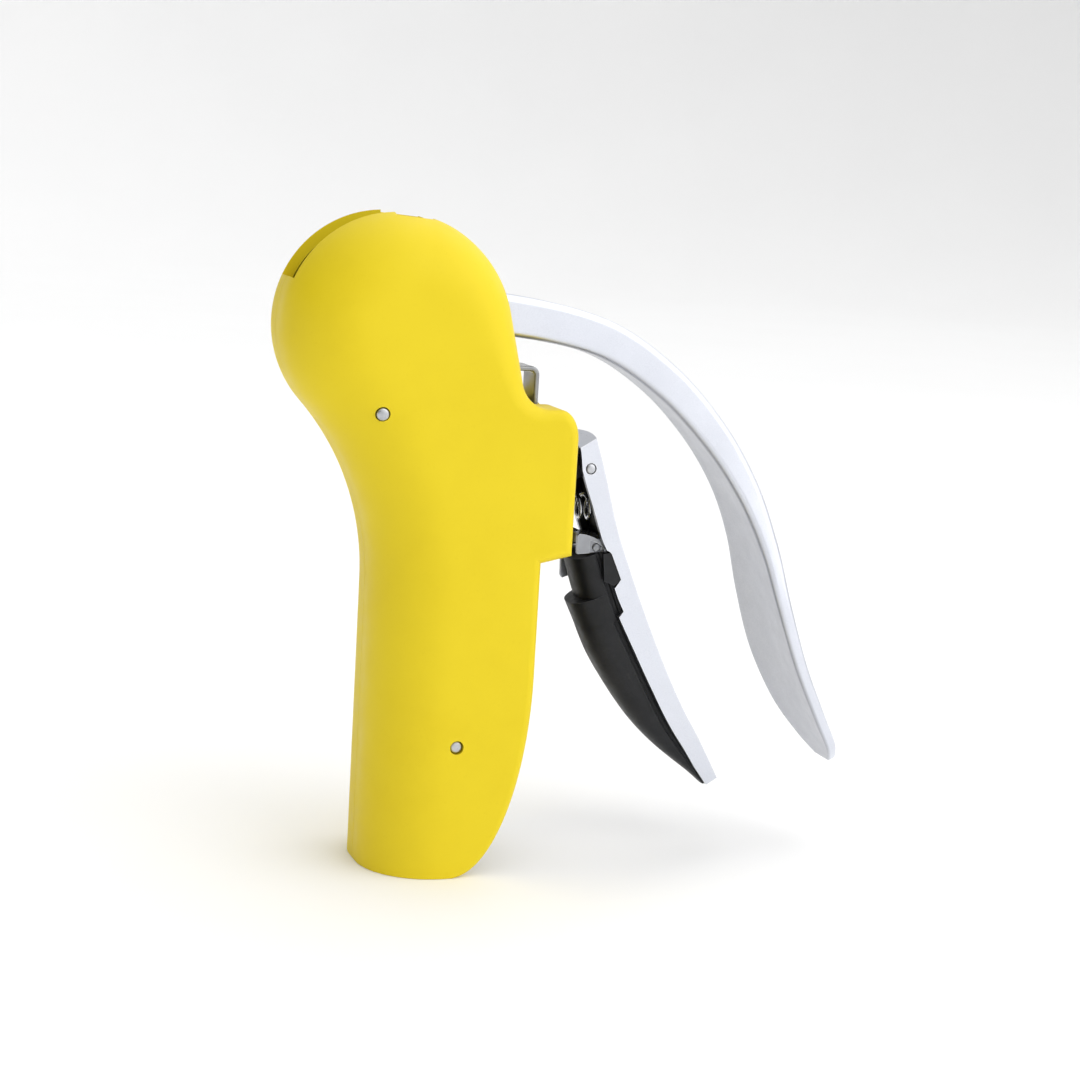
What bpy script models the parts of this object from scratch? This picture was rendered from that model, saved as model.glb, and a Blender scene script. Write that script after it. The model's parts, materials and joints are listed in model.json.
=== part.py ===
"""Lever corkscrew: clamshell body, geared lever, rack-driven worm and spring-loaded trigger.

Sizes below are millimetres and are turned into metres as each mesh is made. The origin is on the worm's
axis in the plane of the body's mouth. +Z runs up the worm, +X points to the lever and the trigger, and the
body is symmetric about the plane Y = 0, its near side at -Y.
"""
import math

import bmesh
import bpy
from mathutils import Vector

MM = 0.001
GAP = 0.3                       # between neighbouring pieces

# Body
HALF_DEPTH = 20.0               # from the middle plane to a flat side, also the tube's back radius
WALL = 2.5
PARTING = 0.15                  # half the seam between the two shells
HEAD_X, HEAD_Z = -17.0, 132.7   # centre of the round head, on the lever's axis
HEAD_R = 27.6
BACK_ROUND = 17.0               # rolling radius of the back and head edges
FRONT_ROUND = 4.0               # rolling radius of the front edges
WAIST_Z = 70.0                  # where the straight tube's back starts to lean towards the head
CHEEK_LEAN = math.radians(9.0)  # slope of the head's front, below its round part
FRONT_X = 18.9                  # front edges of the tube
TAIL_HEIGHT = 50.0              # height of the curve from the front edges back to the mouth
BUMP_FRONT = 27.1
BUMP_TOP, BUMP_BOTTOM = 115.2, 77.8
BUMP_RISE = 2.4                 # how much higher the bump's lower edge is at its front
BUMP_CORNER = 5.0
CHEEK_FILLET = 6.5
SLOT_HALF = 6.3
SLOT_END = math.radians(156.5)  # the slot's end on the back of the head, about the lever's axis
NOTCH_BACK, NOTCH_FRONT = -1.5, 8.0             # shallow notch in the slot's edges, about the lever's axis
NOTCH_BACK_DEPTH, NOTCH_FRONT_DEPTH = 1.0, 1.7  # below the top of the head
NOTCH_SIDE = 3.2                                # how far the notch reaches from the slot

# Pins through the body's sides
UPPER_PIN = (-22.6, 113.6)
LOWER_PIN = (-0.5, 32.9)
BODY_PIN_R = 1.5
PIN_RECESS = 0.5

# Gears: lever hub, idler pinion, racks
MODULE = 1.5
HUB_TEETH = 22                  # as if the hub were a whole gear
IDLER_TEETH = 11
PRESSURE_ANGLE = math.radians(25)
TOOTH_SHARE = 0.44              # tooth thickness at the pitch line, as a share of the pitch
HUB_HALF = 5.0
HUB_CORE_R = 10.5
IDLER_SHORTER = 0.9             # how far inside the racks' outer faces the pinion ends
PINION_ROOM = 0.6               # pocket in the shells round the pinion's teeth
HUB_SECTOR_OVERLAP = 3.0        # how far the toothed sector reaches into the hub's core
LEVER_AXLE_R = 3.0
IDLER_AXLE_R = 2.0
LEVER_SWING = math.radians(132)

# Chassis
PLATE = 1.4
PLATE_INNER = 9.1               # inner face of the plates' upper parts
PLATE_HEAD_R = 21.6
JOG_Z = 66.0                    # where each plate steps out to clear the bottle
PLATE_FOOT_Z = 26.0
PLATE_FRONT = 12.0
PLATE_FRONT_TOP = 112.0         # where the front edge starts to slope back to the round head
PLATE_BACK = -13.5
PLATE_NECK = (-21.5, 103.5)     # corner behind the pinion
PLATE_WAIST_Z = 90.0
FOOT_BACK = -5.5
FOOT_FRONT, FOOT_FRONT_Z = 9.5, 40.0
AXLE_PROUD = 1.4                # how far each axle stands out of the plates
FOOT_INSET = 1.0                # from the tube's inner side to each plate's foot

# Carriage and worm
RACK_BAR = 4.6                  # rack's depth behind its teeth
RACK_HALF_IN = 6.0
RACK_SPARE = 3.4                # bar beyond the travel at each end
CARRIAGE_Z = 110.0
CARRIAGE_H = 6.0
CARRIAGE_FRONT = 7.0
WIRE_R = 1.5
HELIX_R = 2.8
HELIX_PITCH = 10.0
WORM_TIP_Z = 62.5
WORM_SHANK = 0.85               # straight wire below the washer
WORM_WINDING = 0.73             # turns in which the wire winds out to the helix
WORM_TAPER = 3.6                # how soon the wire thins to its point
WORM_POINT = 0.12               # the point's radius, as a share of the wire's
WASHER_R, WASHER_H = 4.6, 1.2
NUT_R, NUT_H = 4.2, 2.0
STOP_PIN_R = 1.5
STOP_PIN_ROOM = 0.5             # from the worm's nut to the pin that stops the carriage

# Guide block, which the bottle's lip comes up against
GUIDE_Z = 61.5
GUIDE_H = 7.0
GUIDE_FLANGE_H = 4.2
GUIDE_R = 14.2
GUIDE_FRONT = 11.5              # flat front, clear of the shut trigger's pad
GUIDE_BACK = -12.0              # back of the collar that stands on the flange
GUIDE_STEP = 0.5                # how far the collar is set back from the flange's front
BORE_ROOM = 0.5                 # round the worm and the racks
LINER = 1.8
LINER_BOTTOM = 1.5
LINER_TURN = math.radians(67)   # how far round the bottle the liner reaches, each way

# Trigger
PIVOT_X, PIVOT_Z = 33.9, 99.7
TRIGGER_SWING = math.radians(31)
TRIGGER_SHEET = 1.3
TRIGGER_CROWN = 0.22            # rise of the trigger's back, as a share of its half width
ROOF_DROP = 0.1                 # from the channel's cut edges to its roof
TRIGGER_PIN_R = 1.2
PAD_TOP, PAD_STEP = 76.3, 67.5
PAD_STEP_DEPTH = 1.6
PAD_EDGE = 1.2
NECK_R = 15.4                   # bottle's neck that the pad's trough fits
JAW_ABOVE_PAD = 3.0
JAW_H = 3.6
JAW_BACK, JAW_FRONT = 40.6, 31.5
LIP_X, LIP_R = 24.5, 11.0       # hollow in the jaw's front for the bottle's lip
RIVET_X, RIVET_Y, RIVET_R, RIVET_H = 38.0, -3.4, 1.3, 2.1
SPRING_Z = 89.0
SPRING_R = 3.0
SPRING_WIRE_R = 0.5
SPRING_TURNS = 5
SPRING_SEAT = 1.6               # from the channel's web to the spring's end
EYE_R, EYE_HALF = 2.3, 5.0
EYE_BELOW, EYE_ABOVE = 6.0, 7.0
BRACKET_BACK, BRACKET_FRONT = 13.5, 25.5
BRACKET_BOTTOM = 86.2
BRACKET_HALF = 14.0
SEAT_BACK, SEAT_FRONT = 19.5, 29.5
SEAT_TOP, SEAT_HALF = 94.7, 5.5

# Strap
STRAP_SHEET = 1.2
STRAP_HALF = 4.5
STRAP_LEFT, STRAP_RIGHT = 8.6, 20.6
STRAP_TOP = 124.2
STRAP_FOOT = 103.0
STRAP_BEND = 2.2

# Lever's arm, hub to tip: place of its back edge, half width, thickness
ARM = [(-14.0, 141.4, 5.4, 10.0), (11.6, 141.4, 5.4, 10.0), (37.6, 136.2, 5.6, 9.4),
       (56.0, 125.4, 6.3, 8.8), (70.0, 111.3, 7.6, 8.0), (79.5, 96.3, 9.6, 6.6),
       (85.2, 81.2, 12.0, 5.0), (89.1, 66.0, 14.2, 3.9), (94.2, 50.4, 15.3, 3.3),
       (101.0, 36.6, 14.2, 3.0), (106.8, 27.8, 10.2, 2.8), (110.0, 22.8, 4.6, 2.4)]
SPOON_DISH = 0.16               # hollow of the arm's inner face, as a share of its half width

# Trigger's channel, top to tip: place of its back edge, half width, flange depth, pad's depth
TRIGGER = [(35.2, 106.3, 8.8, 4.7, 0.0), (37.8, 98.5, 8.8, 5.5, 0.0), (42.0, 84.4, 8.8, 4.6, 0.0),
           (45.7, 75.0, 8.8, 4.4, 13.8), (50.0, 64.8, 8.8, 5.8, 15.4), (56.2, 51.5, 8.5, 5.9, 15.2),
           (62.8, 39.2, 7.6, 5.3, 12.8), (69.6, 28.8, 5.9, 4.8, 9.2), (76.4, 17.8, 3.6, 3.4, 4.2)]

# Values worked out from the ones above
HUB_R = MODULE * HUB_TEETH / 2
IDLER_R = MODULE * IDLER_TEETH / 2
IDLER_X = HEAD_X
IDLER_Z = HEAD_Z - HUB_R - IDLER_R
ADDENDUM = 0.85 * MODULE
DEDENDUM = 1.05 * MODULE
TRAVEL = HUB_R * LEVER_SWING
RACK_X = IDLER_X + IDLER_R
RACK_BACK = RACK_X + DEDENDUM + RACK_BAR
RACK_HALF_OUT = PLATE_INNER - GAP
IDLER_HALF = RACK_HALF_OUT - IDLER_SHORTER
TUBE_INNER = HALF_DEPTH - WALL
FOOT_OUTER = TUBE_INNER - FOOT_INSET
FOOT_INNER = FOOT_OUTER - PLATE
PLATE_OUTER = PLATE_INNER + PLATE
CARRIAGE_TOP = CARRIAGE_Z + CARRIAGE_H
BRACKET_TOP = BUMP_TOP - WALL - GAP

YELLOW = ((0.90, 0.72, 0.035), 0.5, 0.0)
CHROME = ((0.78, 0.79, 0.82), 0.22, 1.0)
STEEL = ((0.62, 0.63, 0.65), 0.35, 1.0)
BLACK = ((0.02, 0.021, 0.023), 0.45, 0.0)
RUBBER = ((0.03, 0.031, 0.034), 0.7, 0.0)


def material(name, look):
    """A Principled material with the given colour, roughness and metallic value."""
    colour, roughness, metallic = look
    result = bpy.data.materials.new(name)
    result.use_nodes = True
    shader = result.node_tree.nodes["Principled BSDF"]
    shader.inputs["Base Color"].default_value = (*colour, 1.0)
    shader.inputs["Roughness"].default_value = roughness
    shader.inputs["Metallic"].default_value = metallic
    return result


def solid(name, points, faces, look=None, origin=(0.0, 0.0, 0.0)):
    """An object made of one closed mesh, its faces turned outwards."""
    mesh = bpy.data.meshes.new(name)
    local = [[(value - start) * MM for value, start in zip(point, origin)] for point in points]
    mesh.from_pydata(local, [], faces)
    work = bmesh.new()
    work.from_mesh(mesh)
    bmesh.ops.remove_doubles(work, verts=work.verts, dist=0.001 * MM)
    bmesh.ops.recalc_face_normals(work, faces=work.faces)
    work.to_mesh(mesh)
    work.free()
    mesh.shade_smooth()
    mesh.set_sharp_from_angle(angle=math.radians(35))
    result = bpy.data.objects.new(name, mesh)
    result.location = Vector(origin) * MM
    bpy.context.collection.objects.link(result)
    if look:
        mesh.materials.append(material(name, look))
    else:
        result.hide_render = True
        result.display_type = "WIRE"
    return result


def loft(name, rings, look=None, origin=(0.0, 0.0, 0.0)):
    """A closed solid through rings that all have the same number of points."""
    count = len(rings[0])
    points = [point for ring in rings for point in ring]
    faces = [tuple(range(count)), tuple(range(len(points) - count, len(points)))]
    for ring in range(len(rings) - 1):
        for side in range(count):
            near = ring * count
            after = (side + 1) % count
            faces.append((near + side, near + after, near + count + after, near + count + side))
    return solid(name, points, faces, look, origin)


def plate(name, outline, low_y, high_y, look=None, origin=(0.0, 0.0, 0.0)):
    """A flat plate: an outline in X and Z, from low_y to high_y."""
    rings = [[(x, y, z) for x, z in outline] for y in (low_y, high_y)]
    return loft(name, rings, look, origin)


def disc(name, outline, low_z, high_z, look=None, origin=(0.0, 0.0, 0.0)):
    """A flat disc or block: an outline in X and Y, from low_z to high_z."""
    rings = [[(x, y, z) for x, y in outline] for z in (low_z, high_z)]
    return loft(name, rings, look, origin)


def arc(centre, radius, start, end, steps):
    """Points on an arc, both ends included."""
    angles = [start + (end - start) * step / steps for step in range(steps + 1)]
    return [(centre[0] + radius * math.cos(a), centre[1] + radius * math.sin(a)) for a in angles]


def circle(centre, radius, steps=24):
    return arc(centre, radius, 0.0, 2 * math.pi, steps)[:-1]


def box(low, high):
    """Outline of a rectangle between two opposite corners."""
    return [low, (high[0], low[1]), high, (low[0], high[1])]


def boolean(target, other, operation):
    modifier = target.modifiers.new(other.name, "BOOLEAN")
    modifier.operation = operation
    modifier.object = other


def cut(target, *cutters):
    for cutter in cutters:
        boolean(target, cutter, "DIFFERENCE")


def smooth_rows(rows, steps):
    """Rows of numbers, with further rows between them on a smooth curve through all of them."""
    padded = [rows[0], *rows, rows[-1]]
    result = []
    for index in range(len(rows) - 1):
        before, start, end, after = padded[index:index + 4]
        for step in range(steps):
            t = step / steps
            result.append([0.5 * (2 * b + (c - a) * t + (2 * a - 5 * b + 4 * c - d) * t * t
                                  + (3 * b - a - 3 * c + d) * t ** 3)
                           for a, b, c, d in zip(before, start, end, after)])
    return result + [list(rows[-1])]


def directions(rows):
    """Unit direction in X and Z at each row of a smooth curve."""
    result = []
    for index in range(len(rows)):
        before = rows[max(index - 1, 0)]
        after = rows[min(index + 1, len(rows) - 1)]
        result.append(Vector((after[0] - before[0], after[1] - before[1])).normalized())
    return result


def tube_along(name, path, radii, sides, look, origin=(0.0, 0.0, 0.0)):
    """A round wire along a path, its radius given at each point."""
    rings = []
    up = Vector((0.0, 1.0, 0.0))
    for index, point in enumerate(path):
        ahead = Vector(path[min(index + 1, len(path) - 1)])
        behind = Vector(path[max(index - 1, 0)])
        forward = (ahead - behind).normalized()
        across = forward.cross(up).normalized()
        up = across.cross(forward)
        centre = Vector(point)
        rings.append([tuple(centre + (across * math.cos(a) + up * math.sin(a)) * radii[index])
                      for a in (2 * math.pi * side / sides for side in range(sides))])
    return loft(name, rings, look, origin)


# Body shells

def body_path(inset):
    """The body's outline from the foot of its back, over the head, down to the bump's top.

    Each station is a point, the inward direction there, and the rolling radius of the edge. inset moves
    the outline into the body, to give the cavity inside a wall.
    """
    stations = [(-HALF_DEPTH, 0.0, 1.0, 0.0, BACK_ROUND)]
    rise = HEAD_Z - WAIST_Z
    back = HEAD_X + HALF_DEPTH
    waist_r = (rise ** 2 + back ** 2 - HEAD_R ** 2) / (2 * (HEAD_R - back))
    waist_x = -HALF_DEPTH - waist_r
    lean = math.atan2(rise, HEAD_X - waist_x)
    for step in range(9):
        angle = lean * step / 8
        c, s = math.cos(angle), math.sin(angle)
        stations.append((waist_x + waist_r * c, WAIST_Z + waist_r * s, c, s, BACK_ROUND))
    first = math.pi + lean
    for step in range(1, 29):
        angle = first + (CHEEK_LEAN - first) * step / 28
        c, s = math.cos(angle), math.sin(angle)
        front = max(0.0, 1.0 - angle / math.radians(75))
        stations.append((HEAD_X + HEAD_R * c, HEAD_Z + HEAD_R * s, -c, -s, BACK_ROUND - 7.0 * front))
    fillet_z = BUMP_TOP + CHEEK_FILLET
    reach = HEAD_R + CHEEK_FILLET + (HEAD_Z - fillet_z) * math.sin(CHEEK_LEAN)
    fillet_x = HEAD_X + reach / math.cos(CHEEK_LEAN)
    for step in range(6):
        angle = math.pi + CHEEK_LEAN + (math.pi / 2 - CHEEK_LEAN) * step / 5
        c, s = math.cos(angle), math.sin(angle)
        round_r = FRONT_ROUND + 3.5 * (1 - step / 5)
        stations.append((fillet_x + CHEEK_FILLET * c, fillet_z + CHEEK_FILLET * s, c, s, round_r))
    return [(x + nx * inset, z + nz * inset, nx, nz, r - inset) for x, z, nx, nz, r in stations]


def bump_and_tail():
    """The rest of the outline: the bump, the tube's front edge and the curve back to the mouth."""
    corner = (BUMP_FRONT - BUMP_CORNER, BUMP_TOP - BUMP_CORNER)
    stations = []
    for step in range(5):
        angle = math.pi / 2 * (1 - step / 4)
        c, s = math.cos(angle), math.sin(angle)
        place = (corner[0] + BUMP_CORNER * c, corner[1] + BUMP_CORNER * s)
        stations.append((*place, -c, -s, FRONT_ROUND))
    slope = Vector((-BUMP_RISE, BUMP_FRONT - FRONT_X)).normalized()
    mitre_x = -1.0
    mitre_z = (1 + slope.x) / slope.y
    stations.append((BUMP_FRONT, BUMP_BOTTOM + BUMP_RISE, mitre_x, mitre_z, FRONT_ROUND))
    stations.append((FRONT_X, BUMP_BOTTOM, mitre_x, mitre_z, FRONT_ROUND))
    for step in range(13):
        angle = math.pi / 2 * step / 12
        c, s = math.cos(angle), math.sin(angle)
        inward = Vector((-c / FRONT_X, s / TAIL_HEIGHT)).normalized()
        round_r = FRONT_ROUND * math.sqrt(max(0.0, c)) if step < 12 else 0.0
        stations.append((FRONT_X * c, TAIL_HEIGHT * (1 - s), inward.x, inward.y, round_r))
    return stations


def rounded_half(name, stations, base, depth, side, steps, look=None):
    """Half of a body: its outline at base, rolled over into a flat side at depth."""
    points = []
    for x, z, nx, nz, radius in stations:
        points.append((x, side * base, z))
        for step in range(steps + 1):
            angle = math.pi / 2 * step / steps
            inset = radius * (1 - math.cos(angle))
            y = depth - radius * (1 - math.sin(angle))
            points.append((x + nx * inset, side * y, z + nz * inset))
    chain = steps + 2
    count = len(stations)
    faces = []
    for station in range(count - 1):
        for step in range(chain - 1):
            near = station * chain + step
            faces.append((near, near + 1, near + chain + 1, near + chain))
    faces.append(tuple(range(0, count * chain, chain)))
    faces.append(tuple(range(chain - 1, count * chain, chain)))
    start = list(range(chain))
    end = list(range((count - 1) * chain, count * chain))
    faces.append(tuple(start + end[::-1]))
    return solid(name, points, faces, look)


def slot_outline():
    """Area in front of and above the lever's axis that the slot takes out of the shells."""
    far = 60.0
    end = (HEAD_X + far * math.cos(SLOT_END), HEAD_Z + far * math.sin(SLOT_END))
    top = HEAD_Z + far
    return [(HEAD_X, HEAD_Z), end, (end[0], top), (far, top), (far, BRACKET_TOP - WALL),
            (HEAD_X, BRACKET_TOP - WALL)]


def notch_outline():
    """Shallow notch across the top of the slot's edges."""
    top = HEAD_Z + HEAD_R
    back, front = HEAD_X + NOTCH_BACK, HEAD_X + NOTCH_FRONT
    return [(back, top - NOTCH_BACK_DEPTH), (front, top - NOTCH_FRONT_DEPTH),
            (front, top + 1), (back, top + 1)]


def build_shells():
    """The two yellow shells, hollow, with the lever's slot and the holes of the body pins."""
    beyond = 45.0
    slot = plate("cut_slot", slot_outline(), -SLOT_HALF, SLOT_HALF)
    notch_half = SLOT_HALF + NOTCH_SIDE
    notch = plate("cut_notch", notch_outline(), -notch_half, notch_half)
    for name, side in (("shell_near", -1), ("shell_far", 1)):
        shell = rounded_half(name, body_path(0.0) + bump_and_tail(), PARTING, HALF_DEPTH, side, 6, YELLOW)
        inner = body_path(WALL)
        foot = inner[0]
        edge = inner[-1][4]
        inner[0] = (foot[0], -5.0, foot[2], foot[3], foot[4])
        inner.append((beyond, BUMP_TOP - WALL, -1.0, -1.0, edge))
        inner.append((beyond, -5.0, -1.0, 0.0, edge))
        cavity = rounded_half("cut_cavity_" + name, inner, -1.0, TUBE_INNER, side, 4)
        teeth = circle((IDLER_X, IDLER_Z), IDLER_R + ADDENDUM + PINION_ROOM, 40)
        reach = sorted((-side, side * (IDLER_HALF + PINION_ROOM)))
        cut(shell, cavity, slot, notch, plate("cut_pocket_" + name, teeth, *reach))
        for label, (x, z) in (("upper", UPPER_PIN), ("lower", LOWER_PIN)):
            reach = sorted((side * PLATE_OUTER, side * (HALF_DEPTH + 1)))
            cut(shell, plate(f"cut_{label}_{name}", circle((x, z), BODY_PIN_R + GAP, 16), *reach))


def build_body_pins():
    """Four pins, each through one shell into its chassis plate."""
    levels = (("upper", UPPER_PIN, PLATE_INNER), ("lower", LOWER_PIN, FOOT_INNER))
    for label, place, inner in levels:
        for side_name, side in (("near", -1), ("far", 1)):
            reach = sorted((side * inner, side * (HALF_DEPTH - PIN_RECESS)))
            plate(f"{label}_pin_{side_name}", circle(place, BODY_PIN_R, 16), *reach, STEEL)


# Chassis

def build_chassis():
    """Two steel plates that carry the axles; each steps out below to leave room for the bottle."""
    head = arc((HEAD_X, HEAD_Z), PLATE_HEAD_R, math.radians(-32), math.radians(214), 20)
    upper = [(PLATE_FRONT, JOG_Z), (PLATE_FRONT, PLATE_FRONT_TOP), *head, PLATE_NECK,
             (PLATE_BACK, PLATE_WAIST_Z), (PLATE_BACK, JOG_Z)]
    lower = [(FOOT_BACK, PLATE_FOOT_Z), (FOOT_FRONT, PLATE_FOOT_Z), (PLATE_FRONT, FOOT_FRONT_Z),
             (PLATE_FRONT, JOG_Z + PLATE), (FOOT_BACK, JOG_Z + PLATE)]
    for name, side in (("chassis_near", -1), ("chassis_far", 1)):
        def reach(inner, outer):
            return sorted((side * inner, side * outer))
        result = plate(name, upper, *reach(PLATE_INNER, PLATE_OUTER), STEEL)
        web = plate("join_web_" + name, box((FOOT_BACK, JOG_Z), (PLATE_FRONT, JOG_Z + PLATE)),
                    *reach(PLATE_INNER + PLATE / 2, FOOT_INNER + PLATE / 2))
        foot = plate("join_foot_" + name, lower, *reach(FOOT_INNER, FOOT_OUTER))
        boolean(result, web, "UNION")
        boolean(result, foot, "UNION")
        holes = (("lever_axle", (HEAD_X, HEAD_Z), LEVER_AXLE_R),
                 ("idler_axle", (IDLER_X, IDLER_Z), IDLER_AXLE_R),
                 ("upper_pin", UPPER_PIN, BODY_PIN_R), ("lower_pin", LOWER_PIN, BODY_PIN_R),
                 ("stop_pin", stop_pin_place(), STOP_PIN_R))
        for label, place, radius in holes:
            cut(result, plate(f"hole_{label}_{name}", circle(place, radius + GAP, 16),
                              *reach(PLATE_INNER - 1, HALF_DEPTH)))


def stop_pin_place():
    """Just above the carriage's top and in front of the worm's nut."""
    return (NUT_R + STOP_PIN_ROOM + STOP_PIN_R, CARRIAGE_TOP + GAP + STOP_PIN_R)


def build_axles():
    reach = PLATE_OUTER + AXLE_PROUD
    plate("lever_axle", circle((HEAD_X, HEAD_Z), LEVER_AXLE_R, 20), -reach, reach, STEEL)
    plate("idler_axle", circle((IDLER_X, IDLER_Z), IDLER_AXLE_R, 16), -reach, reach, STEEL)
    plate("stop_pin", circle(stop_pin_place(), STOP_PIN_R, 14), -reach, reach, STEEL)


# Gears

def involute(base, radius):
    """Turn of an involute of the base circle from its start out to radius."""
    if radius <= base:
        return 0.0
    roll = math.sqrt((radius / base) ** 2 - 1)
    return roll - math.atan(roll)


def tooth(pitch_r, centre_angle, steps=4):
    """One gear tooth about its own centre, as (angle, radius) pairs from root to root."""
    base = pitch_r * math.cos(PRESSURE_ANGLE)
    root = pitch_r - DEDENDUM
    tip = pitch_r + ADDENDUM
    half = TOOTH_SHARE * math.pi * MODULE / pitch_r / 2 + involute(base, pitch_r)
    start = max(root, base)
    flank = [start + (tip - start) * step / steps for step in range(steps + 1)]
    if root < base:
        flank.insert(0, root)
    rising = [(centre_angle - half + involute(base, r), r) for r in flank]
    falling = [(centre_angle + half - involute(base, r), r) for r in reversed(flank)]
    return rising + falling


def polar(centre, pairs):
    return [(centre[0] + r * math.cos(a), centre[1] + r * math.sin(a)) for a, r in pairs]


def hub_sector():
    """Teeth on the hub's far side from the arm, from the mesh with the idler round to the top."""
    pitch = 2 * math.pi / HUB_TEETH
    spare = 1
    last = math.ceil(LEVER_SWING / pitch) + spare
    pairs = []
    for index in range(-last, spare + 1):
        pairs += tooth(HUB_R, -math.pi / 2 + index * pitch)
    inner = HUB_CORE_R - HUB_SECTOR_OVERLAP
    back = arc((HEAD_X, HEAD_Z), inner, pairs[-1][0], pairs[0][0], 16)
    return polar((HEAD_X, HEAD_Z), pairs) + back


def idler_phase():
    """Angle of the idler's first tooth: a gap faces the hub's tooth above it."""
    return math.pi / 2 + math.pi / IDLER_TEETH


def build_idler():
    pitch = 2 * math.pi / IDLER_TEETH
    pairs = []
    for index in range(IDLER_TEETH):
        pairs += tooth(IDLER_R, idler_phase() + index * pitch)
    centre = (IDLER_X, 0.0, IDLER_Z)
    outline = polar((IDLER_X, IDLER_Z), pairs)
    gear = plate("idler_pinion", outline, -IDLER_HALF, IDLER_HALF, STEEL, centre)
    bore = circle((IDLER_X, IDLER_Z), IDLER_AXLE_R + GAP, 20)
    cut(gear, plate("cut_idler_bore", bore, -IDLER_HALF - 1, IDLER_HALF + 1))


def build_racks():
    """Two racks in front of the idler, their gaps lined up with its teeth."""
    pitch = math.pi * MODULE
    low = IDLER_Z - RACK_SPARE
    high = IDLER_Z + TRAVEL + RACK_SPARE
    turn = 2 * math.pi / IDLER_TEETH
    nearest = (idler_phase() + turn / 2) % turn - turn / 2
    first_gap = IDLER_Z + IDLER_R * nearest
    slant = math.tan(PRESSURE_ANGLE)
    half = TOOTH_SHARE * pitch / 2
    root_x, tip_x = RACK_X + DEDENDUM, RACK_X - ADDENDUM
    teeth = []
    for index in range(-2, int(TRAVEL / pitch) + 3):
        middle = first_gap + (index + 0.5) * pitch
        if low < middle - half - DEDENDUM * slant and middle + half + DEDENDUM * slant < high:
            root_half, tip_half = half + DEDENDUM * slant, half - ADDENDUM * slant
            teeth += [(root_x, middle - root_half), (tip_x, middle - tip_half),
                      (tip_x, middle + tip_half), (root_x, middle + root_half)]
    outline = [(RACK_BACK, low), (root_x, low), *teeth, (root_x, high), (RACK_BACK, high)]
    plate("rack_near", outline, -RACK_HALF_OUT, -RACK_HALF_IN, STEEL)
    plate("rack_far", outline, RACK_HALF_IN, RACK_HALF_OUT, STEEL)


def build_carriage():
    """Block between and in front of the racks that carries the worm."""
    narrow, wide = RACK_HALF_IN - GAP, RACK_HALF_OUT
    shoulder = RACK_BACK + GAP
    back = RACK_X + DEDENDUM + BORE_ROOM + GAP
    outline = [(back, -narrow), (shoulder, -narrow), (shoulder, -wide), (CARRIAGE_FRONT, -wide),
               (CARRIAGE_FRONT, wide), (shoulder, wide), (shoulder, narrow), (back, narrow)]
    block = disc("carriage", outline, CARRIAGE_Z, CARRIAGE_TOP, BLACK)
    cut(block, disc("cut_shank", circle((0.0, 0.0), WIRE_R + GAP, 16), CARRIAGE_Z - 1, CARRIAGE_TOP + 1))


# Worm

def build_worm():
    """A wire that hangs from the carriage, winds out to a right-hand helix and ends in a point."""
    top = CARRIAGE_TOP + GAP + NUT_H
    start = CARRIAGE_Z - WASHER_H - GAP - WORM_SHANK
    path = [(0.0, 0.0, top), (0.0, 0.0, start + 3.0)]
    radii = [WIRE_R, WIRE_R]
    steps = 13
    turns = (start - WORM_TIP_Z) / HELIX_PITCH
    count = int(turns * steps)
    for index in range(count + 1):
        share = index / count
        angle = -2 * math.pi * turns * share
        reach = HELIX_R * min(1.0, turns * share / WORM_WINDING)
        z = start + (WORM_TIP_Z - start) * share
        path.append((reach * math.cos(angle), reach * math.sin(angle), z))
        radii.append(WIRE_R * min(1.0, WORM_POINT + WORM_TAPER * (1 - share)))
    tube_along("worm", path, radii, 8, CHROME)
    ring("worm_washer", WASHER_R, CARRIAGE_Z - GAP - WASHER_H, CARRIAGE_Z - GAP)
    ring("worm_nut", NUT_R, CARRIAGE_TOP + GAP, CARRIAGE_TOP + GAP + NUT_H, 6)


def ring(name, radius, low, high, sides=20):
    """A washer or a nut round the worm's shank."""
    result = disc(name, circle((0.0, 0.0), radius, sides), low, high, STEEL)
    cut(result, disc("cut_" + name, circle((0.0, 0.0), WIRE_R + GAP, 16), low - 1, high + 1))


def build_guide():
    """Block over the bottle's lip, with a bore for the worm and a passage for each rack."""
    outline = [(min(x, GUIDE_FRONT), y) for x, y in circle((0.0, 0.0), GUIDE_R, 40)]
    flange = disc("guide_block", outline, GUIDE_Z, GUIDE_Z + GUIDE_FLANGE_H, BLACK)
    collar = box((GUIDE_BACK, -RACK_HALF_OUT), (GUIDE_FRONT - GUIDE_STEP, RACK_HALF_OUT))
    boolean(flange, disc("join_guide_collar", collar, GUIDE_Z + 1, GUIDE_Z + GUIDE_H), "UNION")
    below, above = GUIDE_Z - 1, GUIDE_Z + GUIDE_H + 1
    worm_bore = circle((0.0, 0.0), HELIX_R + WIRE_R + BORE_ROOM, 24)
    cut(flange, disc("cut_worm_bore", worm_bore, below, above))
    back, front = RACK_X - ADDENDUM - BORE_ROOM, RACK_BACK + GAP
    for label, side in (("near", -1), ("far", 1)):
        inner, outer = sorted((side * (RACK_HALF_IN - GAP), side * (RACK_HALF_OUT + 1)))
        cut(flange, disc("cut_rack_" + label, box((back, inner), (front, outer)), below, above))


def build_liner():
    """Rubber behind the bottle's neck."""
    outer = TUBE_INNER - GAP
    start, end = math.pi - LINER_TURN, math.pi + LINER_TURN
    outline = arc((0.0, 0.0), outer, start, end, 14) + arc((0.0, 0.0), outer - LINER, end, start, 14)
    disc("neck_liner", outline, LINER_BOTTOM, GUIDE_Z - GAP, RUBBER)


# Lever

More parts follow.
